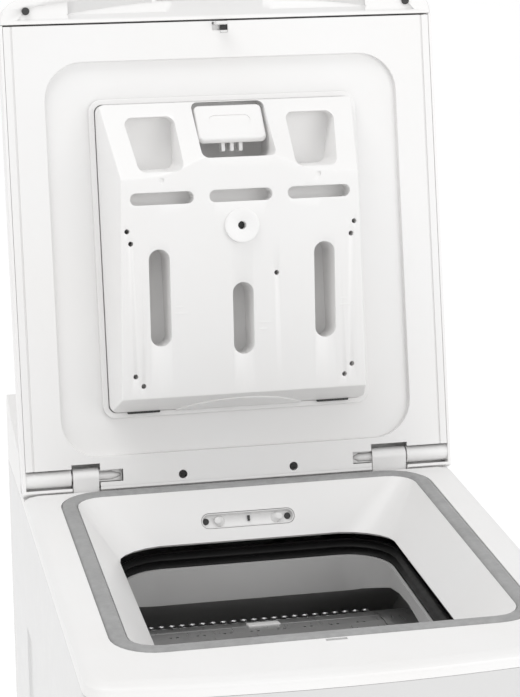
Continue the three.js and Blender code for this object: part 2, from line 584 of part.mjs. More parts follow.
const knobProfile = [[0, -9], [5, -9], [5, GAP], [KNOB.r, GAP], [KNOB.r, 4], [KNOB.r - 4, 5],
  [KNOB.r - 5.5, KNOB.height], [0, KNOB.height]];
const grip = box([-1.2, 1.2], [KNOB.r - 12, KNOB.r + 4], [KNOB.height - 1.2, KNOB.height + 2]);
onSlope(add("programme_knob", cut(spun(knobProfile, 24), grip), finish(0xd9dadb, 0.3)), KNOB.x);
KEY_NAMES.forEach((name, i) => {
  const cap = box([-KEYS.half, KEYS.half], [-KEYS.deep, KEYS.deep], [-WALL - 2, 3]);
  onSlope(add(`${name}_button`, cap, finish(0xcfd1d3, 0.35)), KEYS.first + i * KEYS.pitch);
});
const circuit = box([-92, 92], [-26, 30], [-WALL - 16, -WALL - 11]);
onSlope(add("control_board", circuit, board), 4);

// ---------------------------------------------------------------- tub
const barrelCut = (r, from, to, sides = 48) => bar("x", r, from, to, [AXIS_Y, AXIS_Z], sides);
const MOTOR_DOWN = TUB_R + MOTOR.underTub;
const motorAt = [AXIS_Y + MOTOR.back, AXIS_Z - MOTOR_DOWN];
const LUG_Z = AXIS_Z + SPRING.lug;
const DAMPER_Y = FRONT + DAMPER.fromFront;
const DAMPER_TOP = AXIS_Z - TUB_R - 12;
const OUTLET = { x: 24, y: AXIS_Y - 70, r: 15 };

const springLug = (side) => {
  const span = [TUB_HALF - WALL, SPRING_X + 12].map((x) => side * x).sort((a, b) => a - b);
  return box(span, [AXIS_Y - 12, AXIS_Y + 12], [LUG_Z - 6, LUG_Z]);
};

function tubBarrel() {
  const w = TUB.wall;
  const throatZ = [AXIS_Z + TUB_R * 0.2, RIM_Z + BELLOWS.bottom];
  const t = THROAT;
  const throat = extrudeZ(roundedRect(-t.half - w, t.half + w, t.front - w, t.rear + w, t.corner + w),
    throatZ[0], throatZ[1]);
  const way = extrudeZ(roundedRect(-t.half, t.half, t.front, t.rear, t.corner),
    throatZ[0] - 30, throatZ[1] + 9);
  const arms = [-MOTOR.left + 14, MOTOR.right - 14].map((x) =>
    box([x - 4, x + 4], [motorAt[0] - 34, motorAt[0] + 12], [motorAt[1] + 30, AXIS_Z - TUB_R * 0.6]));
  const feet = [-1, 1].map((side) => box([side * DAMPER.x - 11, side * DAMPER.x + 11],
    [DAMPER_Y - 11, DAMPER_Y + 11], [DAMPER_TOP, AXIS_Z - TUB_R * 0.9]));
  const outlet = bar("z", OUTLET.r, AXIS_Z - TUB_R - 14, AXIS_Z - TUB_R * 0.9, [OUTLET.x, OUTLET.y], 16);
  const hub = bar("x", HUB_R, -TUB_HALF - SHAFT.hubLength, -TUB_HALF + 1, [AXIS_Y, AXIS_Z]);
  const body = join(barrelCut(TUB_R, -TUB_HALF, TUB_HALF - WALL - GAP), throat, ...arms, ...feet, outlet, hub,
    springLug(-1));
  const room = barrelCut(TUB_R - w, WALL - TUB_HALF, TUB_HALF + 5);
  const bore = bar("x", SHAFT_BORE, -HALF, 0, [AXIS_Y, AXIS_Z], 24);
  const motorWay = bar("x", MOTOR.r + GAP, -HALF, HALF, motorAt, 24);
  const drain = bar("z", OUTLET.r - 2.5, AXIS_Z - TUB_R - 20, AXIS_Z - TUB_R * 0.7, [OUTLET.x, OUTLET.y], 16);
  return cut(body, room, way, bore, motorWay, drain);
}
add("tub_barrel", tubBarrel(), tubGrey);

const heaterLegs = [-HEATER.spread, HEATER.spread];
const HEATER_Z = AXIS_Z - Math.sqrt(HEATER.radius ** 2 - HEATER.spread ** 2) * ((TUB_R - TUB.wall) / 253);
function tubCover() {
  const disc = barrelCut(TUB_R, TUB_HALF - WALL, TUB_HALF);
  const hub = bar("x", HUB_R, TUB_HALF - 1, TUB_HALF + SHAFT.hubLength, [AXIS_Y, AXIS_Z]);
  const bore = bar("x", SHAFT_BORE, 0, HALF, [AXIS_Y, AXIS_Z], 24);
  const holes = heaterLegs.map((y) => bar("x", HEATER.r + 1, 0, HALF, [AXIS_Y + y, HEATER_Z], 12));
  return cut(join(disc, hub, springLug(1)), bore, ...holes);
}
add("tub_cover", tubCover(), tubGrey);

function heater() {
  const end = TUB_HALF - 34;
  const out = TUB_HALF + GAP + 2;
  const loop = [[out, -1], [end, -1], [-end, -1], [-end - 18, -0.7], [-end - 26, 0], [-end - 18, 0.7],
    [-end, 1], [end, 1], [out, 1]];
  const points = loop.map(([x, s]) => new THREE.Vector3(x, AXIS_Y + s * HEATER.spread, HEATER_Z));
  const rod = pipe(new THREE.CatmullRomCurve3(points, false, "catmullrom", 0.1), HEATER.r, 24, 6);
  const flangeHalf = HEATER.spread + 12;
  const flange = box([TUB_HALF + GAP, TUB_HALF + GAP + 5], [AXIS_Y - flangeHalf, AXIS_Y + flangeHalf],
    [HEATER_Z - 9, HEATER_Z + 14]);
  return join(rod, flange);
}
add("heater", heater(), galvanised);

// Blocks that follow the barrel's curve in its upper corners, clear of the throat.
const throatReach = AXIS_Y - THROAT.front + TUB.wall;
const weightFrom = THREE.MathUtils.radToDeg(
  Math.asin((throatReach + WEIGHT.fromThroat) / (TUB_R + WEIGHT.clear)));
const weightTo = weightFrom + WEIGHT.span;
for (const [name, from, to] of [["front", -weightTo, -weightFrom], ["rear", weightFrom, weightTo]]) {
  const r0 = TUB_R + WEIGHT.clear;
  const block = extrudeX(sector(r0, r0 + WEIGHT.reach, from, to), -WEIGHT.halfWidth, WEIGHT.halfWidth);
  add(`counterweight_${name}`, block, castIron);
}

for (const [name, side] of [["left", -1], ["right", 1]]) {
  const at = [side * DAMPER.x, DAMPER_Y];
  const floor = BASE.floor + BASE.wall + GAP;
  const d = DAMPER;
  const bore = d.piston + d.play;
  const outer = bore + d.wall;
  const cup = spun([[0, 0], [outer, 0], [outer, d.height], [bore, d.height], [bore, 5], [0, 5]], 20);
  add(`damper_cylinder_${name}`, cup, dark).position.set(...at, floor);
  const base = floor + d.height * 0.45;
  const length = DAMPER_TOP - GAP - base;
  const rod = spun([[0, 0], [d.piston, 0], [d.piston, 14], [d.rod, 16], [d.rod, length - 6], [9, length - 6],
    [9, length], [0, length]], 20);
  add(`damper_rod_${name}`, rod, galvanised).position.set(...at, base);

  const reach = HANGER_Z - LUG_Z - 2 * SPRING.wire - 2 * GAP - 1;
  const coil = pipe(new Coil(SPRING.r, reach, SPRING.turns), SPRING.wire, SPRING.turns * 8, 6);
  add(`suspension_spring_${name}`, coil, galvanised).position.set(
    side * SPRING_X, AXIS_Y, LUG_Z + SPRING.wire + GAP + 0.5);
}

// ---------------------------------------------------------------- drum
const degrees = THREE.MathUtils.degToRad;
const onDrum = (r, angle) => [AXIS_Y + r * Math.sin(degrees(angle)), AXIS_Z + r * Math.cos(degrees(angle))];
const barrelSpan = (FLAP.barrel + 1) / DRUM_R * (180 / Math.PI);

function drumShell() {
  const hatchArc = sector(DRUM_R - 20, DRUM_R + 20, DRUM.front - barrelSpan, DRUM.rear + barrelSpan, 10);
  const hatch = extrudeX(hatchArc, -DRUM.hatchHalf, DRUM.hatchHalf);
  const ends = [-1, 1].map((side) => bar("x", HUB_R + 16, ...[side * (DRUM_HALF - 1), side * (DRUM_HALF + 4)]
    .sort((a, b) => a - b), [AXIS_Y, AXIS_Z]));
  return cut(join(barrelCut(DRUM_R, -DRUM_HALF, DRUM_HALF), ...ends),
    barrelCut(DRUM_R - DRUM.wall, DRUM.wall - DRUM_HALF, DRUM_HALF - DRUM.wall), hatch);
}
add("drum_shell", drumShell(), steel);

// A flap is a stretch of the drum's skin with three hinge barrels on its outer edge.
const FLAP_HALF = DRUM.hatchHalf - 0.8;
function flap(hinge, free, steps) {
  const [from, to] = [Math.min(hinge, free), Math.max(hinge, free)];
  const skin = extrudeX(sector(DRUM_R - DRUM.wall, DRUM_R, from, to, steps), -FLAP_HALF, FLAP_HALF);
  const barrels = FLAP.barrels.map((x) => bar("x", FLAP.barrel, x - FLAP.barrelHalf, x + FLAP.barrelHalf,
    onDrum(DRUM_R + FLAP.above, hinge), 10));
  return join(skin, ...barrels);
}
const latchWindow = (grow) => {
  const span = ((LATCH.along + grow) / DRUM_R) * (180 / Math.PI);
  return extrudeX(sector(DRUM_R - 12, DRUM_R + 12, LATCH.angle - span, LATCH.angle + span, 2),
    -LATCH.half - grow, LATCH.half + grow);
};
add("drum_flap_front", cut(flap(DRUM.front, DRUM.line - 0.1, 8), latchWindow(RUNNING)), steel);
add("drum_flap_rear", flap(DRUM.rear, DRUM.line + 0.1, 3), steel);

const latchSpan = (LATCH.along / DRUM_R) * (180 / Math.PI);
add("flap_latch_button", extrudeX(sector(DRUM_R - LATCH.thick + 1, DRUM_R + 1.2, LATCH.angle - latchSpan,
  LATCH.angle + latchSpan, 2), -LATCH.half, LATCH.half), finish(0xbfc2c4, 0.4));

LIFTER.angles.forEach((angle, i) => {
  const r = Math.sqrt((DRUM_R - DRUM.wall - 1) ** 2 - LIFTER.half ** 2) - GAP;
  const crest = r - LIFTER.height;
  const rib = outline([[-LIFTER.half, r], [LIFTER.half, r], [10, crest + 6], [4, crest], [-4, crest],
    [-10, crest + 6]]);
  const bodyOfRib = extrudeX(rib, LIFTER.endGap - DRUM_HALF, DRUM_HALF - LIFTER.endGap);
  const mesh = add(`drum_lifter_${i + 1}`, bodyOfRib, finish(0xd6d8d9, 0.45));
  mesh.rotation.x = -degrees(angle);
  mesh.position.set(0, AXIS_Y, AXIS_Z);
});

const PULLEY_X = TUB_HALF + PULLEY.from;
const shaft = (from, to) => bar("x", SHAFT.r, from, to, [AXIS_Y, AXIS_Z], 24);
const SHAFT_FOOT = DRUM_HALF + 4 + GAP;
add("drum_shaft_left", shaft(-TUB_HALF - SHAFT.hubLength, -SHAFT_FOOT), steel);
add("drum_shaft_right", shaft(SHAFT_FOOT, PULLEY_X + PULLEY.thick + 3), steel);

function drumPulley() {
  const t = PULLEY.thick;
  const [web, rim, hub] = [5, PULLEY.r - 9, 34];
  const bore = SHAFT.r + GAP;
  const wheel = spun([[bore, 0], [PULLEY.r, 0], [PULLEY.r, t], [rim, t], [rim, web], [hub, web], [hub, t],
    [bore, t], [bore, 0]], 30);
  const windows = Array.from({ length: 6 }, (_, i) => {
    const a = (i * Math.PI) / 3;
    const out = (hub + rim) / 2;
    return bar("z", 24, -1, t + 1, [out * Math.cos(a), out * Math.sin(a)], 10);
  });
  return cut(wheel, ...windows);
}
const wheel = add("drum_pulley", drumPulley(), finish(0xb4b7b9, 0.4, 0.9));
wheel.rotation.y = Math.PI / 2;
wheel.position.set(PULLEY_X, AXIS_Y, AXIS_Z);

// ---------------------------------------------------------------- drive
function motorBody() {
  const can = bar("x", MOTOR.r, -MOTOR.left, MOTOR.right, motorAt, 24);
  const nose = bar("x", 30, MOTOR.right - 1, MOTOR.right + 14, motorAt, 20);
  const bore = bar("x", MOTOR.shaft + RUNNING, MOTOR.right - 40, MOTOR.right + 20, motorAt, 16);
  return cut(join(can, nose), bore);
}
add("motor", motorBody(), castIron);
const rotor = join(bar("x", MOTOR.shaft, MOTOR.right - 30, PULLEY_X, motorAt, 16),
  bar("x", PULLEY.small, PULLEY_X, PULLEY_X + PULLEY.thick, motorAt, 20));
add("motor_pulley", rotor, steel);

// The belt's two straight runs touch both pulleys along their outer common tangents.
function driveBelt() {
  const span = Math.hypot(MOTOR.back, MOTOR_DOWN);
  const heading = Math.atan2(-MOTOR_DOWN, MOTOR.back);
  const lean = Math.acos((PULLEY.r - PULLEY.small) / span);
  const loop = (grow) => {
    const path = [];
    const arc = (cy, cz, r, from, to, steps) => {
      for (let i = 0; i <= steps; i++) {
        const a = from + ((to - from) * i) / steps;
        path.push([cy + r * Math.cos(a), cz + r * Math.sin(a)]);
      }
    };
    arc(AXIS_Y, AXIS_Z, PULLEY.r + grow, heading + lean, heading - lean + 2 * Math.PI, 30);
    arc(...motorAt, PULLEY.small + grow, heading - lean, heading + lean, 8);
    return path;
  };
  const middle = PULLEY_X + PULLEY.thick / 2;
  const shape = outline(loop(0.6 + BELT.thick));
  shape.holes.push(new THREE.Path(loop(0.6).map(([y, z]) => point(y, z))));
  return extrudeX(shape, middle - BELT.width / 2, middle + BELT.width / 2);
}
add("drive_belt", driveBelt(), rubber);

// ---------------------------------------------------------------- water
const PUMP_Y = FRONT + PUMP.from;
function pumpBody() {
  const volute = bar("y", PUMP.r, PUMP_Y, PUMP_Y + 46, [PUMP.x, PUMP.z], 24);
  const coil = bar("y", 24, PUMP_Y + 45, FRONT + PUMP.to, [PUMP.x, PUMP.z], 20);
  const stub = bar("z", 12, PUMP.z, PUMP.z + PUMP.r + 12, [PUMP.x, PUMP_Y + 23], 16);
  const chamber = bar("y", PUMP.cap - 2, PUMP_Y - 1, PUMP_Y + 40, [PUMP.x, PUMP.z], 20);
  const bore = bar("z", 9, PUMP.z, PUMP.z + PUMP.r + 20, [PUMP.x, PUMP_Y + 23], 16);
  return cut(join(volute, coil, stub), chamber, bore);
}
add("drain_pump", pumpBody(), dark);

function pumpFilter() {
  const cap = bar("y", PUMP.cap, PUMP_Y - 16, PUMP_Y - GAP, [PUMP.x, PUMP.z], 24);
  const handle = box([PUMP.x - 3, PUMP.x + 3], [PUMP_Y - 28, PUMP_Y - 15], [PUMP.z - 19, PUMP.z + 19]);
  const basket = bar("y", PUMP.cap - 6, PUMP_Y - 1, PUMP_Y + 30, [PUMP.x, PUMP.z], 16);
  return join(cap, handle, basket);
}
add("pump_filter", pumpFilter(), white);

function sumpHose() {
  const top = AXIS_Z - TUB_R - 14 - GAP;
  const low = PUMP.z + PUMP.r + 12 + GAP;
  const points = [[PUMP.x, PUMP_Y + 23, low], [PUMP.x, PUMP_Y + 23, low + 26],
    [(PUMP.x + OUTLET.x) / 2, (PUMP_Y + 23 + OUTLET.y) / 2, (top + low) / 2 + 6],
    [OUTLET.x, OUTLET.y, top - 22], [OUTLET.x, OUTLET.y, top]].map((p) => new THREE.Vector3(...p));
  return pipe(new THREE.CatmullRomCurve3(points), 13, 12, 10);
}
add("sump_hose", sumpHose(), rubber);

function valve() {
  const x = PORT.side - HALF;
  const z = RIM_Z + PORT.inlet;
  const flange = box([x - 20, x + 20], [REAR - SHEET - 4, REAR - SHEET - GAP], [z - 20, z + 20]);
  const nose = bar("y", PORT.r, REAR - 6, REAR, [x, z]);
  const coil = box([x - 14, x + 14], [REAR - 52, REAR - 4], [z - 12, z + 14]);
  return cut(join(flange, nose, coil), bar("y", PORT.r - 4, REAR - 20, REAR + 1, [x, z]));
}
add("inlet_valve", valve(), white);

function portNose(x, z, r, flange) {
  const collar = bar("y", r + flange, REAR - SHEET - 5, REAR - SHEET - GAP, [x, z]);
  const nose = bar("y", r, REAR - 24, REAR, [x, z]);
  return cut(join(collar, nose), bar("y", r - 4, REAR - 30, REAR + 1, [x, z]));
}
add("drain_spigot", portNose(HALF - PORT.side, RIM_Z + PORT.drain, PORT.r, 7), dark);
add("cord_gland", portNose(PORT.side - HALF, RIM_Z + PORT.cord, PORT.cordR, 5), dark);

// ---------------------------------------------------------------- lid
// The lid is drawn closed round its hinge axis, then leaned back. along(l) and proud(p) give a place in
// the closed lid's own Y and Z.
const lid = new THREE.Group();
lid.position.set(0, HINGE_Y, HINGE_Z);
lid.rotation.x = -degrees(90 + LID.lean);
machine.add(lid);
const RIM_DROP = HINGE.aboveRim - LID.closedGap;
const along = (l) => LID.tail - l;
const proud = (p) => -RIM_DROP - p;
const LID_TOP = proud(-LID.thick);
const SEAM_Y = along(SEAM_L);

// The lid's front edge follows the cabinet's bow.
const lipAt = (x, inset) => along(LIP_L - 2) - FRONT_BOW * (1 - (x / HALF) ** 2) + inset;
function lidFront(inset) {
  const r = CORNER - inset;
  const end = HALF - inset - r;
  const right = Array.from({ length: 6 }, (_, i) => {
    const a = -Math.PI / 2 + (i / 5) * (Math.PI / 2);
    return point(end + r * Math.cos(a), lipAt(end, inset) + r + r * Math.sin(a));
  });
  const left = right.map((p) => point(-p.x, p.y)).reverse();
  const bow = Array.from({ length: 7 }, (_, i) => {
    const x = end * ((i + 1) / 4 - 1);
    return point(x, lipAt(x, inset));
  });
  return [...left, ...bow, ...right];
}

// Side profile of the shell: a round tail about the hinge, and a flat top.
function lidSide(inset, floor) {
  const r = HINGE.sweep - inset;
  const points = [[SEAM_Y, floor], [Math.sqrt(Math.max(r ** 2 - RIM_DROP ** 2, 1)), floor]];
  for (let i = 0; i <= 5; i++) {
    const a = -0.5 + (i / 5) * (Math.PI / 2 + 0.6);
    points.push([r * Math.cos(a), r * Math.sin(a)]);
  }
  return outline([...points, [-34, LID_TOP - inset], [SEAM_Y, LID_TOP - inset]]);
}

const BLOCK_SLOT = 4; // open above each hinge block when the lid is up
function notch(from, to) {
  return box([from, to], [-HINGE.barrel - BLOCK_SLOT, HINGE.sweep + 5], [proud(6), 12]);
}

function lidShell() {
  const outer = extrudeX(lidSide(0, proud(0)), -HALF, HALF);
  const inner = extrudeX(lidSide(LID.wall, proud(3)), LID.wall - HALF, HALF - LID.wall)
    .translate(0, -GAP, 0);
  const barrels = BLOCKS.map(({ side, from, to }) => {
    const span = side === "left" ? [LID.wall - HALF, from - 1.5] : [to + 1.5, HALF - LID.wall];
    return join(bar("x", HINGE.barrel, ...span, [0, 0], 16), box(span, [-4, 4], [0, HINGE.sweep - 1]));
  });
  const holes = [1, -1].map((s) => (s < 0 ? [11 - HALF, 0] : [0, HALF - 11]))
    .map((span) => bar("x", HINGE.pin + RUNNING, ...span, [0, 0], 16));
  const notches = BLOCKS.map(({ from, to }) => notch(from - 1.2, to + 1.2));
  return cut(join(cut(outer, inner, ...notches), ...barrels), ...holes);
}
add("lid_shell", lidShell(), white, lid);

const LINER_HALF = HALF - LID.wall - GAP;
function lidLiner() {
  const w = LID.wall;
  const [tail, front] = [along(4), SEAM_Y + 1];
  const r = LINER;
  const slab = box([-LINER_HALF, LINER_HALF], [front, tail], [proud(-w - r.recess), proud(0)]);
  const field = extrudeZ(roundedRect(-r.recessHalf, r.recessHalf, along(SEAM_L - r.margin),
    along(r.recessFrom), r.corner), proud(-r.recess), proud(5));
  const pan = extrudeZ(roundedRect(-r.recessHalf - w, r.recessHalf + w, along(SEAM_L - r.margin) - w,
    along(r.recessFrom) + w, r.corner + w), proud(1), proud(-w - r.recess) + 20);
  const under = cut(box([w - LINER_HALF, LINER_HALF - w], [front + w, tail - w],
    [proud(-w), proud(-w - r.recess) + 1]), pan);
  const wells = BLOCKS.flatMap(({ side, from, to, tip }) => {
    const barrelSpan = side === "left" ? [-HALF, from] : [to, HALF];
    const [low, high] = side === "left" ? [to, tip + 2] : [tip - 2, from];
    return [
      box(barrelSpan, [-HINGE.barrel - GAP, tail + 5], [proud(20), 15]),
      box([from - 1.2, to + 1.2], [-HINGE.barrel - BLOCK_SLOT, tail + 5], [proud(20), 15]),
      box([low, high], [-HINGE.pin - 2, HINGE.pin + 1.5], [proud(20), 15]),
    ];
  });
  const drains = DRAIN_HOLES.xs.map((x) =>
    bar("z", DRAIN_HOLES.r, proud(20), 15, [x, along(DRAIN_HOLES.l)], 16));
  const hookWay = box([-HOOK.halfWidth - 1.6, HOOK.halfWidth + 1.6],
    [along(HOOK_L) - 5, along(HOOK_L) + 6], [proud(5), 15]);
  const grooves = [-1, 1].map((s) => {
    const x = s * (HALF - GROOVE.inset);
    return box([x - GROOVE.wide / 2, x + GROOVE.wide / 2], [front - 1, tail + 1],
      [proud(-GROOVE.deep), proud(2)]);
  });
  return cut(slab, field, under, ...wells, hookWay, ...grooves, ...drains);
}
add("lid_liner", lidLiner(), white, lid);

function lidHandle() {
  const y = SEAM_Y - GAP - 0.4;
  const planAt = (inset, rear) => [...lidFront(inset), point(HALF - inset, rear), point(inset - HALF, rear)];
  const level = (inset, z) => ({ points: planAt(inset, y), z });
  const body = loft([level(1.5, proud(0)), level(0, proud(-2)), level(0, LID_TOP - 8), level(3, LID_TOP - 2),
    level(8, LID_TOP)]);
  const hollow = extrudeZ(new THREE.Shape(planAt(5, y - 0.6)), proud(-6), LID_TOP - WALL);
  const gripWay = extrudeZ(roundedRect(-GRIP.half, GRIP.half, lipAt(0, GRIP.lip),
    lipAt(0, GRIP.lip + GRIP.wide), GRIP.corner), proud(5), proud(-10));
  return cut(body, hollow, gripWay);
}
add("lid_handle", lidHandle(), white, lid);

function lidHook() {
  const y = along(HOOK_L);
  const t = HOOK.thick / 2;
  const foot = box([-HOOK.halfWidth - 5, HOOK.halfWidth + 5], [SEAM_Y + 1 + LID.wall + GAP, y + 16],
    [proud(-LID.wall) + GAP, proud(-LID.wall) + 3]);
  const arm = box([-HOOK.halfWidth, HOOK.halfWidth], [y - t, y + t],
    [proud(HOOK.reach), proud(-LID.wall) + 2]);
  const nose = bar("x", 1.6, -HOOK.halfWidth, HOOK.halfWidth, [y + 0.4, proud(HOOK.reach - 1.6)], 8);
  return join(arm, nose, foot);
}
add("lid_hook", lidHook(), white, lid);

// ---------------------------------------------------------------- dispenser
const BAY_FLOOR = -LINER.recess + GAP;
function dispenserFrame() {
  const b = BAY;
  const plate = extrudeZ(roundedRect(-b.half, b.half, along(b.to), along(b.from), b.corner),
    proud(b.proud - 5), proud(BAY_FLOOR));
  const way = extrudeZ(roundedRect(b.lip - b.half, b.half - b.lip, along(b.to - b.lip),
    along(b.from + b.lip), b.corner - b.lip), proud(20), proud(-20));
  return cut(plate, way);
}
add("dispenser_frame", dispenserFrame(), white, lid);

// Outline of the dispenser from the side, as [l, p] pairs, moved in by w.
function trayProfile(w) {
  const t = TRAY;
  const [low, high] = [BAY.from + BAY.lip + 0.6, BAY.to - BAY.lip - 0.6];
  const points = [
    [low + w, BAY_FLOOR], [low + w, t.foot], [t.heel - 6 + w, t.chin - 8],
    [t.heel + w * 0.8, t.chin - w * 0.6], [t.shoulder - 8, t.brow - 1 - w], [t.shoulder + 1, t.brow - w],
    [t.shoulder + 8 - w * 0.3, t.brow - 3 - w], [high - 1 - w, 14 - w * 0.3], [high - w, 10 - w * 0.3],
    [high - w, BAY_FLOOR],
  ];
  return points.map(([l, p]) => [along(l), proud(p)]);
}

// Wedges that draft the two side walls, narrower at the face.
function drafted(body, half) {
  const side = (s) => {
    const wedge = [[half, BAY_FLOOR - 3], [half, BAY_FLOOR], [half, TRAY.foot],
      [half - TRAY.draft, TRAY.brow + 4], [half + 40, TRAY.brow + 4], [half + 40, BAY_FLOOR - 3]];
    return extrudeY(outline(wedge.map(([x, p]) => [s * x, proud(p)])), along(400), along(40));
  };
  return cut(body, side(-1), side(1));
}

// A slot with round ends through the tray's face, about x, between two places up the lid.
function slotShape(x, half, from, to) {
  const round = Math.min(half, (to - from) / 2) - 0.01;
  return extrudeZ(roundedRect(x - half, x + half, along(to), along(from), round),
    proud(TRAY.brow + 10), proud(20));
}

function dispenserTray() {
  const half = BAY.half - BAY.lip - 0.6;
  const w = TRAY.wall;
  const margin = BAY.lip + 0.6;
  const plan = extrudeZ(roundedRect(-half, half, along(BAY.to - margin), along(BAY.from + margin),
    BAY.corner - BAY.lip), proud(TRAY.brow + 10), proud(-20));
  const block = common(drafted(extrudeX(outline(trayProfile(0)), -half - 2, half + 2), half), plan);
  const roomProfile = trayProfile(w);
  roomProfile[0][1] = proud(BAY_FLOOR - 2);
  roomProfile.at(-1)[1] = proud(BAY_FLOOR - 2);
  const room = drafted(extrudeX(outline(roomProfile), -half, half), half - w);
  const partition = (from, to, top) => [-1, 1].map((s) =>
    box([s * 41 - 1.2, s * 41 + 1.2], [along(to), along(from)], [proud(top), proud(BAY_FLOOR)]));
  const walls = [...partition(90, 280, 43), ...partition(279, 348, 9)];
  const { hole, r, deep } = BOSS;
  const boss = spun([[hole, 0], [r - 1, 0], [r, deep], [hole, deep], [hole, 0]], 20)
    .translate(0, along(BOSS.l), proud(BOSS.proud));
  const pockets = [-1, 1].map((s) => {
    const [x0, x1] = s < 0 ? [-POCKET.to, -POCKET.from] : [POCKET.from, POCKET.to];
    return extrudeZ(roundedRect(x0, x1, along(POCKET.high), along(POCKET.low), 9),
      proud(TRAY.brow + 20), proud(4));
  });
  const bayHalf = BUTTON.half + BUTTON.margin;
  const bay = extrudeZ(roundedRect(-bayHalf, bayHalf, along(BUTTON.high + BUTTON.margin),
    along(BUTTON.bayFrom), 6), proud(TRAY.brow + 20), proud(-20));
  const tallSlots = TALL_SLOTS.map(([x, from, to]) => slotShape(x, TALL_SLOT_HALF, from, to));
  const flatSlots = FLAT_SLOTS.xs.map((x) => slotShape(x, FLAT_SLOTS.half, FLAT_SLOTS.from, FLAT_SLOTS.to));
  const bossHole = slotShape(0, hole, BOSS.l - hole, BOSS.l + hole);
  return cut(join(cut(block, room, ...tallSlots, ...flatSlots), ...walls, boss), ...pockets, bay, bossHole);
}
add("dispenser_tray", dispenserTray(), white, lid);

function releaseButton() {
  const slope = Math.atan2(TRAY.brow - 14, BAY.to - BAY.lip - TRAY.shoulder - 6);
  const mid = (BUTTON.low + BUTTON.high) / 2;
  const half = (BUTTON.high - BUTTON.low) / 2 / Math.cos(slope);
  const cap = extrudeZ(roundedRect(-BUTTON.half, BUTTON.half, -half, half, 5), -BUTTON.thick, 0);
  const p = 14 + ((BAY.to - BAY.lip - mid) * (TRAY.brow - 14)) / (BAY.to - BAY.lip - TRAY.shoulder - 6);
  return cap.rotateX(Math.PI - slope).translate(0, along(mid), proud(p - 1));
}
add("dispenser_button", releaseButton(), white, lid);

export default machine;
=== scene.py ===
# %% [markdown]
# # A top loading washing machine with its lid open
#
# This file is a lesson in Blender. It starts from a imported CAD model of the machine, which is the frame:
# its sizes and joints are fixed. The cells below give that frame its looks. Some nodes keep their
# shape and only get a material. Others get a finer piece that stands for them, with rounded edges.

# %% Load the frame
import json
import math

import bmesh
import bpy
from mathutils import Matrix, Vector

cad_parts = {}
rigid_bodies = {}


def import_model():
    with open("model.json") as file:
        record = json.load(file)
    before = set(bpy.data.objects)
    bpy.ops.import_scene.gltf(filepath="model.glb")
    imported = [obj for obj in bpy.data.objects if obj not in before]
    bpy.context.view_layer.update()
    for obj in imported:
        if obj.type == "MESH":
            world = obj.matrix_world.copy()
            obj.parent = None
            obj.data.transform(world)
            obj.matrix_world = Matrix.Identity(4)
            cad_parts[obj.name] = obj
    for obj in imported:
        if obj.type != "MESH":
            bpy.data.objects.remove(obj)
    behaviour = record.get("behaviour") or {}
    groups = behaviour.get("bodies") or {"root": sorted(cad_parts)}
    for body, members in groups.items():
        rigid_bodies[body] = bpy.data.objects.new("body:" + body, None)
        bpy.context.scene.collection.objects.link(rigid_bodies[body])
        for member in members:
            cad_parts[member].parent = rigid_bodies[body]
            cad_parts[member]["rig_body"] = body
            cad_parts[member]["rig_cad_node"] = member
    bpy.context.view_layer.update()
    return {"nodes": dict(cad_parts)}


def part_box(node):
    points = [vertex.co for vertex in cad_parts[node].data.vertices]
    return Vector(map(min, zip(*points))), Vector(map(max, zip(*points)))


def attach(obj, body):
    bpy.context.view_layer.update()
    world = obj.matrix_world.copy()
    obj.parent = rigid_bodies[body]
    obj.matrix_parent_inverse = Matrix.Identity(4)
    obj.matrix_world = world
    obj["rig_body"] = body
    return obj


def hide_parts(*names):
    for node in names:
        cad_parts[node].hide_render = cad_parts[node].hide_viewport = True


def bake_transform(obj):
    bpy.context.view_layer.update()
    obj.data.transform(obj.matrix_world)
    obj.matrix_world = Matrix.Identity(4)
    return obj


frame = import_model()

# %% [markdown]
# ## Working from the frame's own places
#
# Lengths on the drawing are in millimetres, and Blender works in metres. The lid leans back by LEAN, so
# places on it are easier to give in its own directions: across it, up along it from its foot, and proud
# of its face, towards the user. The hinge axis fixes where the foot is.

# %% Places
MM = 0.001
LEAN = math.radians(11.8)
LID_UP = Vector((0, math.sin(LEAN), math.cos(LEAN)))
LID_OUT = Vector((0, -math.cos(LEAN), math.sin(LEAN)))
HINGE = Vector((0, 0.1645, 0.859))
HINGE_L, HINGE_P = 13.1, -9  # millimetres up the lid and proud of it
LID_FOOT = HINGE - MM * (HINGE_L * LID_UP + HINGE_P * LID_OUT)

low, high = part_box("lid_shell")
print("lid shell from", [round(v, 3) for v in low], "to", [round(v, 3) for v in high])

# %% [markdown]
# ## Selecting and finishing by code
#
# An operator acts on everything that is selected, so each step begins with nothing selected. These
# helpers make that short. close_up merges doubles and turns all faces outwards. round_edges bevels the
# edges that are sharper than a given angle, and weighted lets the big faces rule the shading, so that
# flat faces still look flat beside a rounded edge.


# %% Helpers for modelling
DOUBLE, CAD_DOUBLE = 2e-5, 1e-5
SMOOTH_ANGLE, FLAT_ANGLE = math.radians(38), math.radians(0.6)
BEVEL_ANGLE = 32


def only(piece):
    """Selects one piece and makes it the active one."""
    bpy.ops.object.select_all(action="DESELECT")
    piece.select_set(True)
    bpy.context.view_layer.objects.active = piece
    return piece


def edit(piece):
    """Opens a piece in edit mode with nothing selected."""
    only(piece)
    bpy.ops.object.mode_set(mode="EDIT")
    bpy.ops.mesh.select_mode(type="FACE")
    bpy.ops.mesh.select_all(action="DESELECT")


def done():
    """Leaves edit mode and gives the piece back."""
    bpy.ops.object.mode_set(mode="OBJECT")
    return bpy.context.object


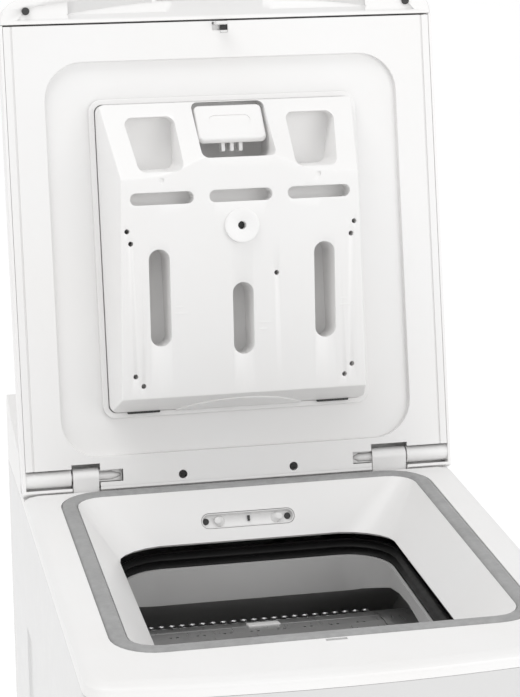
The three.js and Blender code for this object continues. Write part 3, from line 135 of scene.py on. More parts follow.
def pick(piece, test, kind="faces"):
    """Selects the faces, edges or vertices of a piece in edit mode that pass a test."""
    mesh = bmesh.from_edit_mesh(piece.data)
    bpy.ops.mesh.select_mode(type={"faces": "FACE", "edges": "EDGE", "verts": "VERT"}[kind])
    bpy.ops.mesh.select_all(action="DESELECT")
    found = [item for item in getattr(mesh, kind) if test(item)]
    for item in found:
        item.select_set(True)
    mesh.select_flush_mode()
    bmesh.update_edit_mesh(piece.data)
    return len(found)


def settle(piece):
    """Puts a piece's place into its mesh, so that its object sits at the origin."""
    only(piece)
    bpy.ops.object.transform_apply(location=True, rotation=True, scale=True)
    return piece


def close_up(piece):
    edit(piece)
    bpy.ops.mesh.select_all(action="SELECT")
    bpy.ops.mesh.remove_doubles(threshold=DOUBLE)
    bpy.ops.mesh.normals_make_consistent(inside=False)
    return done()


def modify(piece, kind, **settings):
    """Adds a modifier, sets it and applies it."""
    only(piece)
    modifier = piece.modifiers.new(kind.lower(), kind)
    for key, value in settings.items():
        setattr(modifier, key, value)
    bpy.ops.object.modifier_apply(modifier=modifier.name)
    return piece


def smooth(piece, angle=SMOOTH_ANGLE):
    only(piece)
    bpy.ops.object.shade_smooth_by_angle(angle=angle)
    return piece


def round_edges(piece, width, segments=3, angle=BEVEL_ANGLE):
    modify(piece, "BEVEL", width=width, segments=segments, limit_method="ANGLE",
           angle_limit=math.radians(angle), use_clamp_overlap=True, harden_normals=False)
    return smooth(piece)


def weighted(piece):
    return modify(piece, "WEIGHTED_NORMAL", weight=80, keep_sharp=True)


print("modelling helpers ready")

# %% [markdown]
# ## Finer copies of the moulded parts
#
# A CAD solid has knife sharp edges, while a moulded or pressed part never has: its edges catch a
# thin line of light. refine copies a node, merges its loose triangles into whole faces, rounds the
# edges and lets the copy stand for the node. The copy keeps the node's name with _part after it.
# The tub hangs and bounces, so the springs, the bellows and the hose between it and the cabinet have
# to stretch. BENDS gives for each the height where it would stop following the cabinet and start to follow
# the tub, but those heights are not used: these copies keep their place and ride on no body.

# %% Rounded copies
def refine(node, width, bends=None):
    """A finer copy of a node. It rides on the node's body, or, where bends is given, keeps its place and
    rides on no body.
    """
    source = frame["nodes"][node]
    piece = source.copy()
    piece.data = source.data.copy()
    piece.name = node + "_part"
    piece.parent = None
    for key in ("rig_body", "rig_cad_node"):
        if key in piece:
            del piece[key]
    bpy.context.scene.collection.objects.link(piece)
    edit(piece)
    bpy.ops.mesh.select_all(action="SELECT")
    bpy.ops.mesh.remove_doubles(threshold=CAD_DOUBLE)
    bpy.ops.mesh.customdata_custom_splitnormals_clear()
    bpy.ops.mesh.dissolve_limited(angle_limit=FLAT_ANGLE)
    done()
    if width:
        round_edges(piece, width * MM)
    else:
        smooth(piece, math.radians(BEVEL_ANGLE))
    weighted(piece)
    if bends:
        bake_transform(piece)
    else:
        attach(piece, source["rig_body"])
    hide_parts(node)
    return piece


parts = {}
EDGE_ROUNDING = {
    "lid_shell": 0.8, "lid_liner": 1.0, "lid_handle": 1.4, "top_plate": 1.2, "console": 1.2,
    "hopper": 0.5, "dispenser_frame": 0.7, "dispenser_button": 2.2, "front_panel": 0.3, "plinth": 0.6,
    "filter_door": 0.6, "door_seal": 1.2, "lid_hook": 0.5, "hinge_pin_left": 0, "hinge_pin_right": 0,
    "tub_barrel": 0, "drum_shell": 0, "side_panel_left": 0.4, "side_panel_right": 0.4,
    "programme_knob": 0.8,
}
for node, width in EDGE_ROUNDING.items():
    parts[node] = refine(node, width)
BENDS = {
    "bellows": (0.801, 0.784), "suspension_spring_left": (0.780, 0.680),
    "suspension_spring_right": (0.780, 0.680), "sump_hose": (0.155, 0.246),
}
for node, span in BENDS.items():
    parts[node] = refine(node, 0, bends=span)
print("refined", sorted(parts))

# %% [markdown]
# ## Blocks and cutters
#
# Holes, slots and small trim all start as a cube with its upright edges rounded. slab makes one
# from its two corners. carve joins a list of them and takes them out of a piece with one Boolean,
# which is much faster than one Boolean each. on_lid stands a piece that was modelled flat, with its
# own height pointing up, onto the leaning lid.

# %% Blocks and cutters
LID_PLACE = Matrix.Translation(LID_FOOT) @ Matrix((
    (1, LID_UP.x, LID_OUT.x), (0, LID_UP.y, LID_OUT.y), (0, LID_UP.z, LID_OUT.z))).to_4x4()


def slab(name, x, y, z, corner=0.0, segments=6):
    """A block between two corners in millimetres, its upright edges rounded."""
    centre = [MM * (a + b) / 2 for a, b in (x, y, z)]
    bpy.ops.object.select_all(action="DESELECT")
    bpy.ops.mesh.primitive_cube_add(size=1, location=centre)
    piece = bpy.context.object
    piece.name = name
    piece.scale = [MM * abs(b - a) for a, b in (x, y, z)]
    settle(piece)
    if corner:
        edit(piece)
        pick(piece, lambda e: abs(e.verts[0].co.z - e.verts[1].co.z) > 1e-6, "edges")
        bpy.ops.mesh.bevel(offset=corner * MM, segments=segments, affect="EDGES")
        done()
    return piece


def rod(name, centre, radius, depth, sides=24):
    """An upright cylinder round a place in millimetres."""
    bpy.ops.object.select_all(action="DESELECT")
    bpy.ops.mesh.primitive_cylinder_add(vertices=sides, radius=radius * MM, depth=depth * MM,
                                        location=[v * MM for v in centre])
    piece = bpy.context.object
    piece.name = name
    return settle(piece)


def joined(name, pieces):
    only(pieces[0])
    for piece in pieces:
        piece.select_set(True)
    if len(pieces) > 1:
        bpy.ops.object.join()
    whole = bpy.context.object
    whole.name = name
    return whole


def carve(piece, cutters):
    tool = joined("cutters", cutters)
    modify(piece, "BOOLEAN", object=tool, operation="DIFFERENCE", solver="EXACT", use_self=True)
    bpy.data.objects.remove(tool)
    return piece


def on_lid(piece, body="lid"):
    only(piece)
    piece.matrix_world = LID_PLACE
    settle(piece)
    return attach(piece, body)


def copy_of(piece, name, shift):
    """A copy with its own mesh, moved by millimetres."""
    twin = piece.copy()
    twin.data = piece.data.copy()
    twin.name = name
    bpy.context.scene.collection.objects.link(twin)
    twin.data.transform(Matrix.Translation([v * MM for v in shift]))
    return twin


print("block helpers ready, lid foot at", [round(v, 4) for v in LID_FOOT])

# %% [markdown]
# ## The detergent dispenser
#
# The tray is one soft moulded shell: a leaning face, a slope above it with two filling pockets, and a
# ridge between them that arches up in the middle under the release button. A block is cut
# to its planes, all its edges are rounded, and its ridge is then arched by moving vertices, which only
# works once the block has enough columns across it. The holes come last, so that they stay crisp. A
# pocket's floor is a little smaller than its mouth, as in any part that has to leave a mould.

# %% The tray's body
LOW_L, HIGH_L, RIDGE_L, TRAY_HALF = 70.6, 349.4, 276, 118.4
TRAY_BACK, TRAY_TOP, TRAY_ROUND, FOOT_P = -5.4, 74, 7, 10
HEEL_L, HEEL_P = 88, 43
FACE_SLOPE = 27 / 188
ARCH, ARCH_HALF, ARCH_START = 20, 50, 200
TRAY_COLUMNS = range(-110, 111, 5)
TRAY_ROWS = (225, 235, 245, 255, 262, 268, 290, 300, 310, 320, 330, 340)


def face_at(along):
    """How far the tray's face is proud of the lid, at a place up the lid."""
    return HEEL_P + (along - HEEL_L) * FACE_SLOPE


def sliced(piece, place, normal, keep=True):
    """Cuts a piece by a plane. Where keep is not set, the side that the normal points to is removed."""
    edit(piece)
    bpy.ops.mesh.select_all(action="SELECT")
    bpy.ops.mesh.bisect(plane_co=[v * MM for v in place], plane_no=normal, clear_outer=not keep,
                        use_fill=not keep)
    return done()


tray = slab("dispenser_tray_part", (-TRAY_HALF, TRAY_HALF), (LOW_L, HIGH_L), (TRAY_BACK, TRAY_TOP),
            TRAY_ROUND, 6)
TRAY_PLANES = (
    ((0, HEEL_L, HEEL_P), (0, -FACE_SLOPE, 1)),
    ((0, 283, 68.5), (0, 0.815, 1)),
    ((0, LOW_L, 6), (0, -1, 0.37)),
    ((TRAY_HALF, 0, 4), (1, 0, 0.17)),
    ((-TRAY_HALF, 0, 4), (-1, 0, 0.17)),
)
for place, normal in TRAY_PLANES:
    sliced(tray, place, normal, keep=False)
close_up(tray)
edit(tray)
bpy.ops.mesh.select_all(action="SELECT")
bpy.ops.mesh.dissolve_limited(angle_limit=math.radians(1))


def outer_edge(edge):
    """Every clear edge of the tray above its foot."""
    return min(v.co.z for v in edge.verts) > 3 * MM and edge.calc_face_angle(0) > math.radians(14)


pick(tray, outer_edge, "edges")
bpy.ops.mesh.bevel(offset=TRAY_ROUND * MM, segments=6, affect="EDGES", clamp_overlap=True)
done()
for column in TRAY_COLUMNS:
    sliced(tray, (column, 0, 0), (1, 0, 0))
for row in TRAY_ROWS:
    sliced(tray, (0, row, 0), (0, 1, 0))


def arch(across):
    """How far the ridge moves up the lid, most in the middle and hardly at all near the sides."""
    return ARCH / (1 + (abs(across) / ARCH_HALF) ** 5)


def arch_share(along):
    """How much of the arch a place takes: all of it at the ridge, none at the tray's ends."""
    if along > RIDGE_L:
        return 1 - (along - RIDGE_L) / (HIGH_L - RIDGE_L)
    share = max((along - ARCH_START) / (RIDGE_L - ARCH_START), 0)
    return share * share * (3 - 2 * share)


for vertex in tray.data.vertices:
    across, along, proud = (c / MM for c in vertex.co)
    if proud < FOOT_P:
        continue
    move = arch(across) * max(arch_share(along), 0)
    vertex.co.y += move * MM
    vertex.co.z += move * FACE_SLOPE * MM
print("tray body:", len(tray.data.polygons), "faces")

# %% The tray's holes
SLOT_HALF, SLOT_PLACES = 9.5, ((-75, 131, 218), (75, 131, 218), (0, 120, 185))
FLAT_SLOT_HALF, FLAT_SLOT_SPAN, FLAT_SLOT_PLACES = 28.5, (257.5, 268.5), (-71, 0, 71)
SMALL_HOLES = ((-103, 235), (103, 235), (-100, 224), (100, 224), (-99, 105), (99, 105),
               (-92, 96), (92, 96), (31, 192))
POCKET_EDGES, POCKET_SPAN, POCKET_DEPTH = (50, 97), (285, 338), (7, 90)
POCKET_X, POCKET_L, TAPER_X, TAPER_L, CORNER_SHIFT = 73.5, 325, 0.06, 0.12, 6
BOSS_L, BOSS_RADIUS = 236, 15.5
cutters = []
for side in (-1, 1):
    pocket = slab("pocket", sorted(side * v for v in POCKET_EDGES), POCKET_SPAN, POCKET_DEPTH, 8, 8)
    for vertex in pocket.data.vertices:
        if vertex.co.y < 310 * MM and abs(vertex.co.x) > 72 * MM:
            vertex.co.x -= side * CORNER_SHIFT * MM
        if vertex.co.z < 10 * MM:
            vertex.co.x += (side * POCKET_X * MM - vertex.co.x) * TAPER_X
            vertex.co.y += (POCKET_L * MM - vertex.co.y) * TAPER_L
    cutters.append(pocket)
for centre, low_end, high_end in SLOT_PLACES:
    span = (centre - SLOT_HALF, centre + SLOT_HALF)
    cutters.append(slab("tall_slot", span, (low_end, high_end), (6, 90), SLOT_HALF - 0.1, 8))
for centre in FLAT_SLOT_PLACES:
    span = (centre - FLAT_SLOT_HALF, centre + FLAT_SLOT_HALF)
    cutters.append(slab("flat_slot", span, FLAT_SLOT_SPAN, (44, 90), 5.4, 6))
cutters.append(slab("button_bay", (-33.5, 33.5), (297, 348.6), (-1, 110), 6, 6))
for place in SMALL_HOLES:
    cutters.append(rod("small_hole", (*place, 60), 2.3, 60, 16))
for side in (-1, 1):
    cutters.append(rod("dimple", (side * 71, 279, 70.5), 2.2, 2.4, 16))
cutters.append(rod("boss_bore", (0, BOSS_L, 62), 3.6, 40, 24))
carve(tray, cutters)
round_edges(tray, 0.9 * MM, 2, 40)
boss = rod("boss", (0, BOSS_L, 60), BOSS_RADIUS, 15, 40)
edit(boss)
pick(boss, lambda f: f.normal.z > 0.9)
bpy.ops.mesh.inset(thickness=1.6 * MM)
bpy.ops.mesh.inset(thickness=10.2 * MM)
bpy.ops.transform.translate(value=(0, 0, -0.7 * MM))
done()
carve(boss, [rod("boss_bore", (0, BOSS_L, 60), 3.7, 40, 24)])
# A dark disc at the bottom of the boss's bore: painted shade in the hole.
boss_hole_shade = rod("boss_hole_shade", (0, BOSS_L, 58), 5, 1, 24)
print("tray:", len(tray.data.polygons), "faces")

# %% [markdown]
# ## The release button, its bay and the small marks
#
# The button is a thick cap with big soft corners and a shallow finger mark. Below it the bay is dark, with
# three short ribs of the catch. Beside the tall slots short raised lines mark the fill levels.

# %% Button and trim
BUTTON_PLACE = Matrix.Translation((0, 0.330, 0.0292)) @ Matrix.Rotation(-math.atan2(56, 69), 4, "X")
finger_mark = slab("finger_mark", (-19, 19), (-5, 8), (-0.9, 4), 6, 6)
finger_mark.matrix_world = LID_PLACE @ BUTTON_PLACE
settle(finger_mark)
carve(parts["dispenser_button"], [finger_mark])
weighted(parts["dispenser_button"])
parts_on_tray = []
for index, across in enumerate((-8, 0, 8)):
    rib = slab(f"catch_rib_{index}", (across - 1.6, across + 1.6), (303, 312), (20, 34), 1, 3)
    parts_on_tray.append(rib)
LEVEL_MARKS = ((-63, 160), (-62, 166), (14, 148), (14, 142), (88, 160), (88, 166))
for index, (across, along) in enumerate(LEVEL_MARKS):
    top = face_at(along)
    width = 12 if index % 2 == 0 else 7
    parts_on_tray.append(slab(f"level_mark_{index}", (across, across + width), (along - 0.5, along + 0.5),
                              (top - 1, top + 0.35), 0.3, 2))
for piece in (*parts_on_tray, tray, boss, boss_hole_shade):
    on_lid(piece, "dispenser")
round_edges(boss, 0.5 * MM, 2, 40)
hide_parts("dispenser_tray")
print("ribs and marks on the tray:", len(parts_on_tray))

# %% [markdown]
# ## The foot of the tray
#
# A curved tab closes the tray's lower wall. It is a round plate cut to a segment, laid against the
# sloping wall.

# %% Tab
TAB_RADIUS, TAB_RISE, WALL_LEAN = 75, 29, math.atan2(31, 11.4)
tab = rod("tray_tab", (0, TAB_RISE - TAB_RADIUS, 0), TAB_RADIUS, 1.6, 96)
sliced(tab, (0, 0.5, 0), (0, -1, 0), keep=False)
round_edges(tab, 0.5 * MM, 2, 40)
tab.matrix_world = Matrix.Translation((0, 69.8 * MM, 5 * MM)) @ Matrix.Rotation(WALL_LEAN, 4, "X")
settle(tab)
on_lid(tab, "dispenser")
print("tab:", len(tab.data.polygons), "faces")

# %% [markdown]
# ## Beds under the hinge pins, and the snap slots
#
# The tip of each hinge pin lies in a trough of the lid. The trough is a block bored out along the
# hinge axis by a round cutter and a conical one, which follow the pin with a small gap. PINS gives for
# each side where the pin leaves its knuckle, where it starts to narrow, and its tip. Beside the tray's
# foot, two thin dark strips are painted shade for the slots that take the snaps holding the tray in its
# frame.

# %% Pin beds and snap slots
PIN_RADIUS, PIN_TIP_RADIUS, BED_GAP = 3.75, 1.2, 0.35
PINS = ((-1, 131, 119, 111), (1, 125, 113, 108))
BED_SPAN, BED_DEPTH, BED_PAST_TIP = (7.9, 18.8), (-15, -8), 1.9
SNAP_X, SNAP_HALF = 88, 15


def pin_bore(across, near_radius, far_radius, length, side):
    """A lying round or conical cutter about the hinge axis, its far end towards the lid's middle."""
    bpy.ops.object.select_all(action="DESELECT")
    bpy.ops.mesh.primitive_cone_add(vertices=32, radius1=near_radius * MM, radius2=far_radius * MM,
                                    depth=length * MM)
    bore = bpy.context.object
    turn = Matrix.Rotation(-side * math.pi / 2, 4, "Y")
    bore.data.transform(Matrix.Translation((across * MM, HINGE_L * MM, HINGE_P * MM)) @ turn)
    return bore


beds = []
wide, narrow = PIN_RADIUS + BED_GAP, PIN_TIP_RADIUS + BED_GAP
for side, near, shoulder, tip in PINS:
    bed = slab("pin_bed", sorted((side * near, side * (tip - BED_PAST_TIP))), BED_SPAN, BED_DEPTH)
    carve(bed, [pin_bore(side * (near + shoulder) / 2, wide, wide, near - shoulder + 2, side),
                pin_bore(side * (shoulder + tip) / 2, wide, narrow, shoulder - tip + 0.8, side)])
    beds.append(bed)
beds = joined("pin_beds", beds)
on_lid(beds)
# Dark strips laid on the lid: painted shade for the snap slots.
slot_shades = []
for side in (-1, 1):
    span = (side * SNAP_X - SNAP_HALF, side * SNAP_X + SNAP_HALF)
    slot_shades.append(slab(f"snap_slot_shade_{side}", span, (68.6, 71.6), (3, 5.2), 1, 3))
for slot in slot_shades:
    on_lid(slot)
print("pin beds:", len(beds.data.polygons), "faces, snap slots:", len(slot_shades))

# %% [markdown]
# ## The lid's front cap
#
# The cap that carries the grip has a raised rim along its curved edge and a shallow step inside it.
# Each step is a cutter made from a grid: its near edge stays straight while its far edge is moved onto
# the curve, and then the grid is pushed down to give it depth. Small rubber pads land on the deck.

# %% Cap recess and pads
def bowed_cutter(half, start, top_at, depth):
    """A shallow cutter with a straight near edge and a far edge that follows top_at."""
    bpy.ops.object.select_all(action="DESELECT")
    bpy.ops.mesh.primitive_grid_add(x_subdivisions=48, y_subdivisions=1, size=1)
    piece = bpy.context.object
    for vertex in piece.data.vertices:
        across = vertex.co.x * 2 * half
        along = top_at(across) if vertex.co.y > 0 else start
        vertex.co = Vector((across, along, -depth)) * MM
    edit(piece)
    bpy.ops.mesh.select_all(action="SELECT")
    bpy.ops.mesh.extrude_region_move(TRANSFORM_OT_translate={"value": (0, 0, (depth + 4) * MM)})
    done()
    return close_up(piece)


LID_HALF, RIM_L, LID_BOW, RIM_CORNER, RIM_CORNER_FROM = 200, 451, 15, 15, 170
STEP_HALF, STEP_L, STEP_RISE = 140, 433, 11


def rim_edge(across):
    """The inner edge of the rim band: the lid's bow, rounded at its corners."""
    over = max(abs(across) - RIM_CORNER_FROM, 0)
    corner = RIM_CORNER - math.sqrt(max(RIM_CORNER ** 2 - over ** 2, 0))
    return RIM_L - LID_BOW * (across / LID_HALF) ** 2 - corner


def step_edge(across):
    """The inner edge of the step: a shallow arch."""
    return STEP_L + STEP_RISE * (1 - (across / STEP_HALF) ** 2)


cap = parts["lid_handle"]
CAP_STEPS = ((184, 428.5, rim_edge, 1.6), (139, 432.5, step_edge, 2.4))
cap_tools = [bowed_cutter(*step) for step in CAP_STEPS]
for tool in cap_tools:
    tool.matrix_world = LID_PLACE
    settle(tool)
carve(cap, cap_tools)
smooth(cap, math.radians(30))
pads = []
for side in (-1, 1):
    pad = rod(f"lid_pad_{side}", (side * 176, 436.5, 0), 3.4, 3, 24)
    round_edges(pad, 0.6 * MM, 2, 40)
    pads.append(on_lid(pad))
# A dark recessed strip beside the latch hook: painted shade in the opening that the hook comes through.
aperture_shade = slab("latch_aperture", (0.3, 7), (412, 421.5), (-1.6, 0.25), 0.6, 2)
edit(aperture_shade)
pick(aperture_shade, lambda f: f.normal.z > 0.9)
bpy.ops.mesh.inset(thickness=0.5 * MM)
bpy.ops.transform.translate(value=(0, 0, -1 * MM))
done()
on_lid(aperture_shade)
print("cap:", len(cap.data.polygons), "faces")

# %% [markdown]
# ## The spray nozzle
#
# Water enters through a narrow trough in the hopper's rear wall. The trough is a rounded block whose
# front face is inset and pushed back. Two cones aim the jets inwards, and two holes sit at the ends. The
# holes, the openings at the cones' tips and a small cut in the middle are dark discs and a dark block laid
# in the trough: painted shade.
# All of it is drawn flat and then tilted onto the funnel's leaning wall.

# %% Nozzle
WALL_TILT = math.atan2(42, 24)
NOZZLE_PLACE = Matrix.Translation((0, 0.12234, 0.822)) @ Matrix.Rotation(WALL_TILT, 4, "X")


def on_wall(piece):
    only(piece)
    piece.matrix_world = NOZZLE_PLACE
    settle(piece)
    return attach(piece, "cabinet")


TROUGH_HALF, TROUGH_TALL, TROUGH_RIM, TROUGH_SUNK = 42.8, 6.8, 0.9, 4.6
CONES = ((-25.4, -0.5), (26.2, 0.5))
AIM = 5.6
trough = slab("spray_nozzle_part", (-TROUGH_HALF, TROUGH_HALF), (-TROUGH_TALL, TROUGH_TALL), (-8, -0.6),
              TROUGH_TALL - 0.1, 8)
edit(trough)
pick(trough, lambda f: f.normal.z > 0.9)
bpy.ops.mesh.inset(thickness=TROUGH_RIM * MM)
bpy.ops.mesh.extrude_region_move(TRANSFORM_OT_translate={"value": (0, 0, -TROUGH_SUNK * MM)})
bpy.ops.transform.resize(value=(0.985, 0.9, 1))
done()
round_edges(trough, 0.35 * MM, 2, 40)
# Dark discs that paint the shade inside the trough's end holes and the openings at the cones' tips.
HOLE_SHADES_IN_TROUGH = ((-38.6, 3.0, 0.2), (37.2, 3.0, 0.2), (-28.6, 1.9, 4.2), (29.4, 1.9, 4.2))
hole_shades_in_nozzle = [rod(f"nozzle_hole_shade_{i}", (across, 0.4, lift - 5), radius, 0.9, 24)
                for i, (across, radius, lift) in enumerate(HOLE_SHADES_IN_TROUGH)]
nozzle_cones = []
for index, (across, lean) in enumerate(CONES):
    bpy.ops.object.select_all(action="DESELECT")
    bpy.ops.mesh.primitive_cone_add(vertices=28, radius1=5.2 * MM, radius2=2.9 * MM, depth=5.4 * MM,
                                    location=(across * MM, 0, -3 * MM))
    cone = bpy.context.object
    cone.name = f"nozzle_cone_{index}"
    settle(cone)
    edit(cone)
    pick(cone, lambda f: f.normal.z > 0.9)
    bpy.ops.transform.translate(value=(lean * AIM * MM, 0, 0))
    done()
    nozzle_cones.append(round_edges(cone, 0.4 * MM, 2, 30))
# A dark block in the middle of the trough: painted shade in the small cut there.
notch_shade = slab("nozzle_notch", (0, 2.2), (-1.5, 3.5), (-5.3, -3.7), 0.4, 2)
for piece in (trough, notch_shade, *hole_shades_in_nozzle, *nozzle_cones):
    on_wall(piece)
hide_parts("spray_nozzle")
print("nozzle parts:", 2 + len(hole_shades_in_nozzle) + len(nozzle_cones))

# %% [markdown]
# ## The drum's flaps
#
# The two flaps close the drum. A row of rounded teeth runs along the narrow one, and pairs of small
# drain holes are punched in both. The band is one rectangle spun round the drum's axis, the teeth
# are one lug copied, and the holes are one Boolean.

# %% Flaps, teeth and drain holes
DRUM_Y, DRUM_Z, DRUM_R = 0.0075, 0.518, 0.232


def drum_place(angle):
    """Where a flat piece lands on the drum's skin, in degrees behind the top."""
    a = math.radians(angle)
    turn = Matrix.Rotation(-a, 4, "X")
    return Matrix.Translation((0, DRUM_Y + DRUM_R * math.sin(a), DRUM_Z + DRUM_R * math.cos(a))) @ turn


def band(name, half, inner, outer, start, end, steps):
    """A stretch of the drum's skin between two angles, spun from one rectangle."""
    piece = slab(name, (-half, half), (-0.05, 0.05), (inner, outer))
    edit(piece)
    pick(piece, lambda f: f.normal.y > 0.9)
    bpy.ops.mesh.delete(type="FACE")
    pick(piece, lambda e: min(v.co.y for v in e.verts) > 0, "edges")
    bpy.ops.mesh.spin(steps=steps, angle=-math.radians(end - start), center=(0, 0, 0), axis=(1, 0, 0))
    pick(piece, lambda e: e.is_boundary, "edges")
    bpy.ops.mesh.edge_face_add()
    done()
    turn = Matrix.Rotation(-math.radians(start), 4, "X")
    piece.matrix_world = Matrix.Translation((0, DRUM_Y, DRUM_Z)) @ turn
    settle(piece)
    return close_up(piece)


FLAP_LINE, TOOTH_ANGLE, TOOTH_PITCH, TEETH_EACH_SIDE = 17.1, 23.6, 9.5, 11
HOLE_ROWS_FRONT = ((14.5, -96, 24, 9), (6, -84, 24, 8), (-3, -96, 24, 9), (-12, -84, 24, 8),
                   (-21, -96, 24, 9))
HOLE_ROWS_REAR = ((20.3, -84, 24, 8),)
FLAP_HALF, FLAP_INNER, FLAP_OUTER = 104.7, 230, 232
HOLE_RADIUS, PAIR_HALF = 1.5, 3
rear_flap = band("drum_flap_rear_part", FLAP_HALF, FLAP_INNER, FLAP_OUTER, FLAP_LINE, TOOTH_ANGLE, 6)
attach(rear_flap, "rear_flap")
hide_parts("drum_flap_rear")

tooth = slab("tooth", (-3.3, 3.3), (-4, 4), (-0.4, 2.2), 3.2, 4)
round_edges(tooth, 0.8 * MM, 2, 40)
tooth.data.transform(drum_place(TOOTH_ANGLE))
steps_across = [i for i in range(-TEETH_EACH_SIDE, TEETH_EACH_SIDE + 1) if i]
teeth = [tooth] + [copy_of(tooth, "tooth_more", (TOOTH_PITCH * i, 0, 0)) for i in steps_across]
teeth = joined("flap_teeth", teeth)
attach(teeth, "rear_flap")

front_flap = refine("drum_flap_front", 0)


def holes_at(rows):
    """Pairs of hole cutters, in rows of (degrees behind the top, first place, pitch, count)."""
    made = []
    for angle, first, pitch, count in rows:
        for i in range(count):
            for nudge in (-PAIR_HALF, PAIR_HALF):
                hole = rod("hole", (first + pitch * i + nudge, 0, 0), HOLE_RADIUS, 12, 12)
                hole.data.transform(drum_place(angle))
                made.append(hole)
    return made


carve(front_flap, holes_at(HOLE_ROWS_FRONT))
carve(rear_flap, holes_at(HOLE_ROWS_REAR))
for piece in (front_flap, rear_flap):
    smooth(piece, math.radians(30))
latch = refine("flap_latch_button", 0.8)
print("teeth:", len(teeth.data.polygons), "front flap:", len(front_flap.data.polygons))

# %% [markdown]
# ## A wire for shader maths
#
# A material here is a small calculation. Wire wraps one output socket, and its overloaded operators
# add Math nodes, so that a pattern reads as the formula it is. Maker.node adds any other node from
# its type, its settings and the values or wires of its inputs.

# %% Shader helpers
class Wire:
    def __init__(self, maker, socket):
        self.maker = maker
        self.socket = socket

    def maths(self, operation, a, b):
        return self.maker.node("ShaderNodeMath", {"operation": operation}, {0: a, 1: b})

    def __add__(self, other):
        return self.maths("ADD", self, other)

    def __mul__(self, other):
        return self.maths("MULTIPLY", self, other)

    __radd__ = __add__
    __rmul__ = __mul__


class Maker:
    def __init__(self, name):
        self.material = bpy.data.materials.new(name)
        self.material.use_nodes = True
        self.tree = self.material.node_tree
        self.shader = self.tree.nodes["Principled BSDF"]
        self.place = self.node("ShaderNodeTexCoord", {}, {}, "Object")

    def node(self, kind, settings, inputs, output=0):
        made = self.tree.nodes.new(kind)
        for key, value in settings.items():
            setattr(made, key, value)
        for key, value in inputs.items():
            self.put(made.inputs[key], value)
        return Wire(self, made.outputs[output])

    def put(self, socket, value):
        if isinstance(value, Wire):
            self.tree.links.new(value.socket, socket)
        else:
            socket.default_value = value

    def noise(self, scale, detail=3.0, rough=0.55, stretch=None):
        place = self.place
        if stretch:
            place = self.node("ShaderNodeMapping", {}, {"Vector": place, "Scale": stretch})
        return self.node("ShaderNodeTexNoise", {}, {"Vector": place, "Scale": scale, "Detail": detail,
                                                     "Roughness": rough})

    def span(self, wire, a, b, c, d):
        """Maps a wire's values from a…b to c…d."""
        return self.node("ShaderNodeMapRange", {}, {"Value": wire, "From Min": a, "From Max": b,
                                                     "To Min": c, "To Max": d})

    def mix(self, factor, a, b):
        """A colour between two, by a factor. The Mix node numbers its colour sockets 6, 7 and 2."""
        return self.node("ShaderNodeMix", {"data_type": "RGBA"}, {0: factor, 6: a, 7: b}, 2)

    def bump(self, height, strength, distance):
        return self.node("ShaderNodeBump", {}, {"Height": height, "Strength": strength,
                                                 "Distance": distance})

    def set(self, **inputs):
        for key, value in inputs.items():
            self.put(self.shader.inputs[key.replace("_", " ")], value)
        return self.material


def shade(value, warm=0.0):
    """A neutral colour, moved a little towards warm."""
    return (value * (1 + warm), value, value * (1 - warm), 1)


print("shader helpers ready")

# %% [markdown]
# ## Moulded plastic
#
# White washing machine plastic is polypropylene or ABS with a fine spark eroded grain. It is never
# one flat white: it thickens to a warmer tone in places, and its gloss wanders where hands touch it.
# The grain is a fine noise in Bump, and the gloss a slow noise in Roughness.

# %% Plastics
WARM = 0.01


def moulded(name, colour, rough, grain=0.05, scale=900, spread=0.02, coat=0.0):
    m = Maker(name)
    slow = m.noise(7, 4, 0.6)
    fine = m.noise(scale, 2)
    light = shade(min(colour * (1 + spread), 1), 0.4 * WARM)
    deep = shade(colour * (1 - spread), WARM)
    tone = m.mix(m.span(slow, 0.3, 0.7, 0, 1), deep, light)
    scuffs = m.noise(60, 6, 0.7, stretch=(1, 1, 3))
    return m.set(
        Base_Color=tone,
        Roughness=m.span(slow * 0.6 + scuffs * 0.4, 0.3, 0.7, rough - 0.05, rough + 0.06),
        Normal=m.bump(fine, grain, 0.0002),
        Coat_Weight=coat,
        Coat_Roughness=0.12,
    )


print("plastic recipe ready")

# %% [markdown]
# ## Painted and plated steel
#
# The side and front sheets are steel with a baked enamel. Its surface has the very slight waviness
# called orange peel, and a clear top layer. Zinc plate shows large pale crystals instead, and the
# drum is stainless steel brushed round its axis.

# %% Metals
def painted(name, colour, rough):
    m = Maker(name)
    peel = m.noise(420, 1.5)
    slow = m.noise(5, 3)
    return m.set(
        Base_Color=m.mix(m.span(slow, 0.3, 0.7, 0, 1), shade(colour * 0.98, 0.006),
                         shade(colour, 0.002)),
        Roughness=m.span(m.noise(40, 5, 0.7), 0.3, 0.7, rough - 0.04, rough + 0.05),
        Normal=m.bump(peel, 0.05, 0.0003),
        Coat_Weight=0.35,
        Coat_Roughness=0.1,
    )


def plated(name, colour, rough):
    m = Maker(name)
    cells = m.node("ShaderNodeTexVoronoi", {}, {"Vector": m.place, "Scale": 60}, "Color")
    tone = m.node("ShaderNodeSeparateColor", {}, {"Color": cells})
    speck = m.noise(300, 4)
    return m.set(
        Base_Color=m.mix(tone, shade(colour * 0.85), shade(colour * 1.08)),
        Metallic=1.0,
        Roughness=m.span(tone * 0.7 + speck * 0.3, 0, 1, rough - 0.08, rough + 0.1),
        Normal=m.bump(speck, 0.08, 0.0002),
    )


def brushed(name, colour, rough, stretch, dark=0.85):
    m = Maker(name)
    lines = m.noise(40, 2, 0.5, stretch=stretch)
    slow = m.noise(9, 3)
    tone = m.span(lines * 0.5 + slow * 0.5, 0.3, 0.7, 0, 1)
    return m.set(
        Base_Color=m.mix(tone, shade(colour * dark), shade(colour)),
        Metallic=1.0,
        Roughness=m.span(lines, 0.3, 0.7, rough - 0.03, rough + 0.04),
        Normal=m.bump(lines, 0.004, 0.0001),
    )


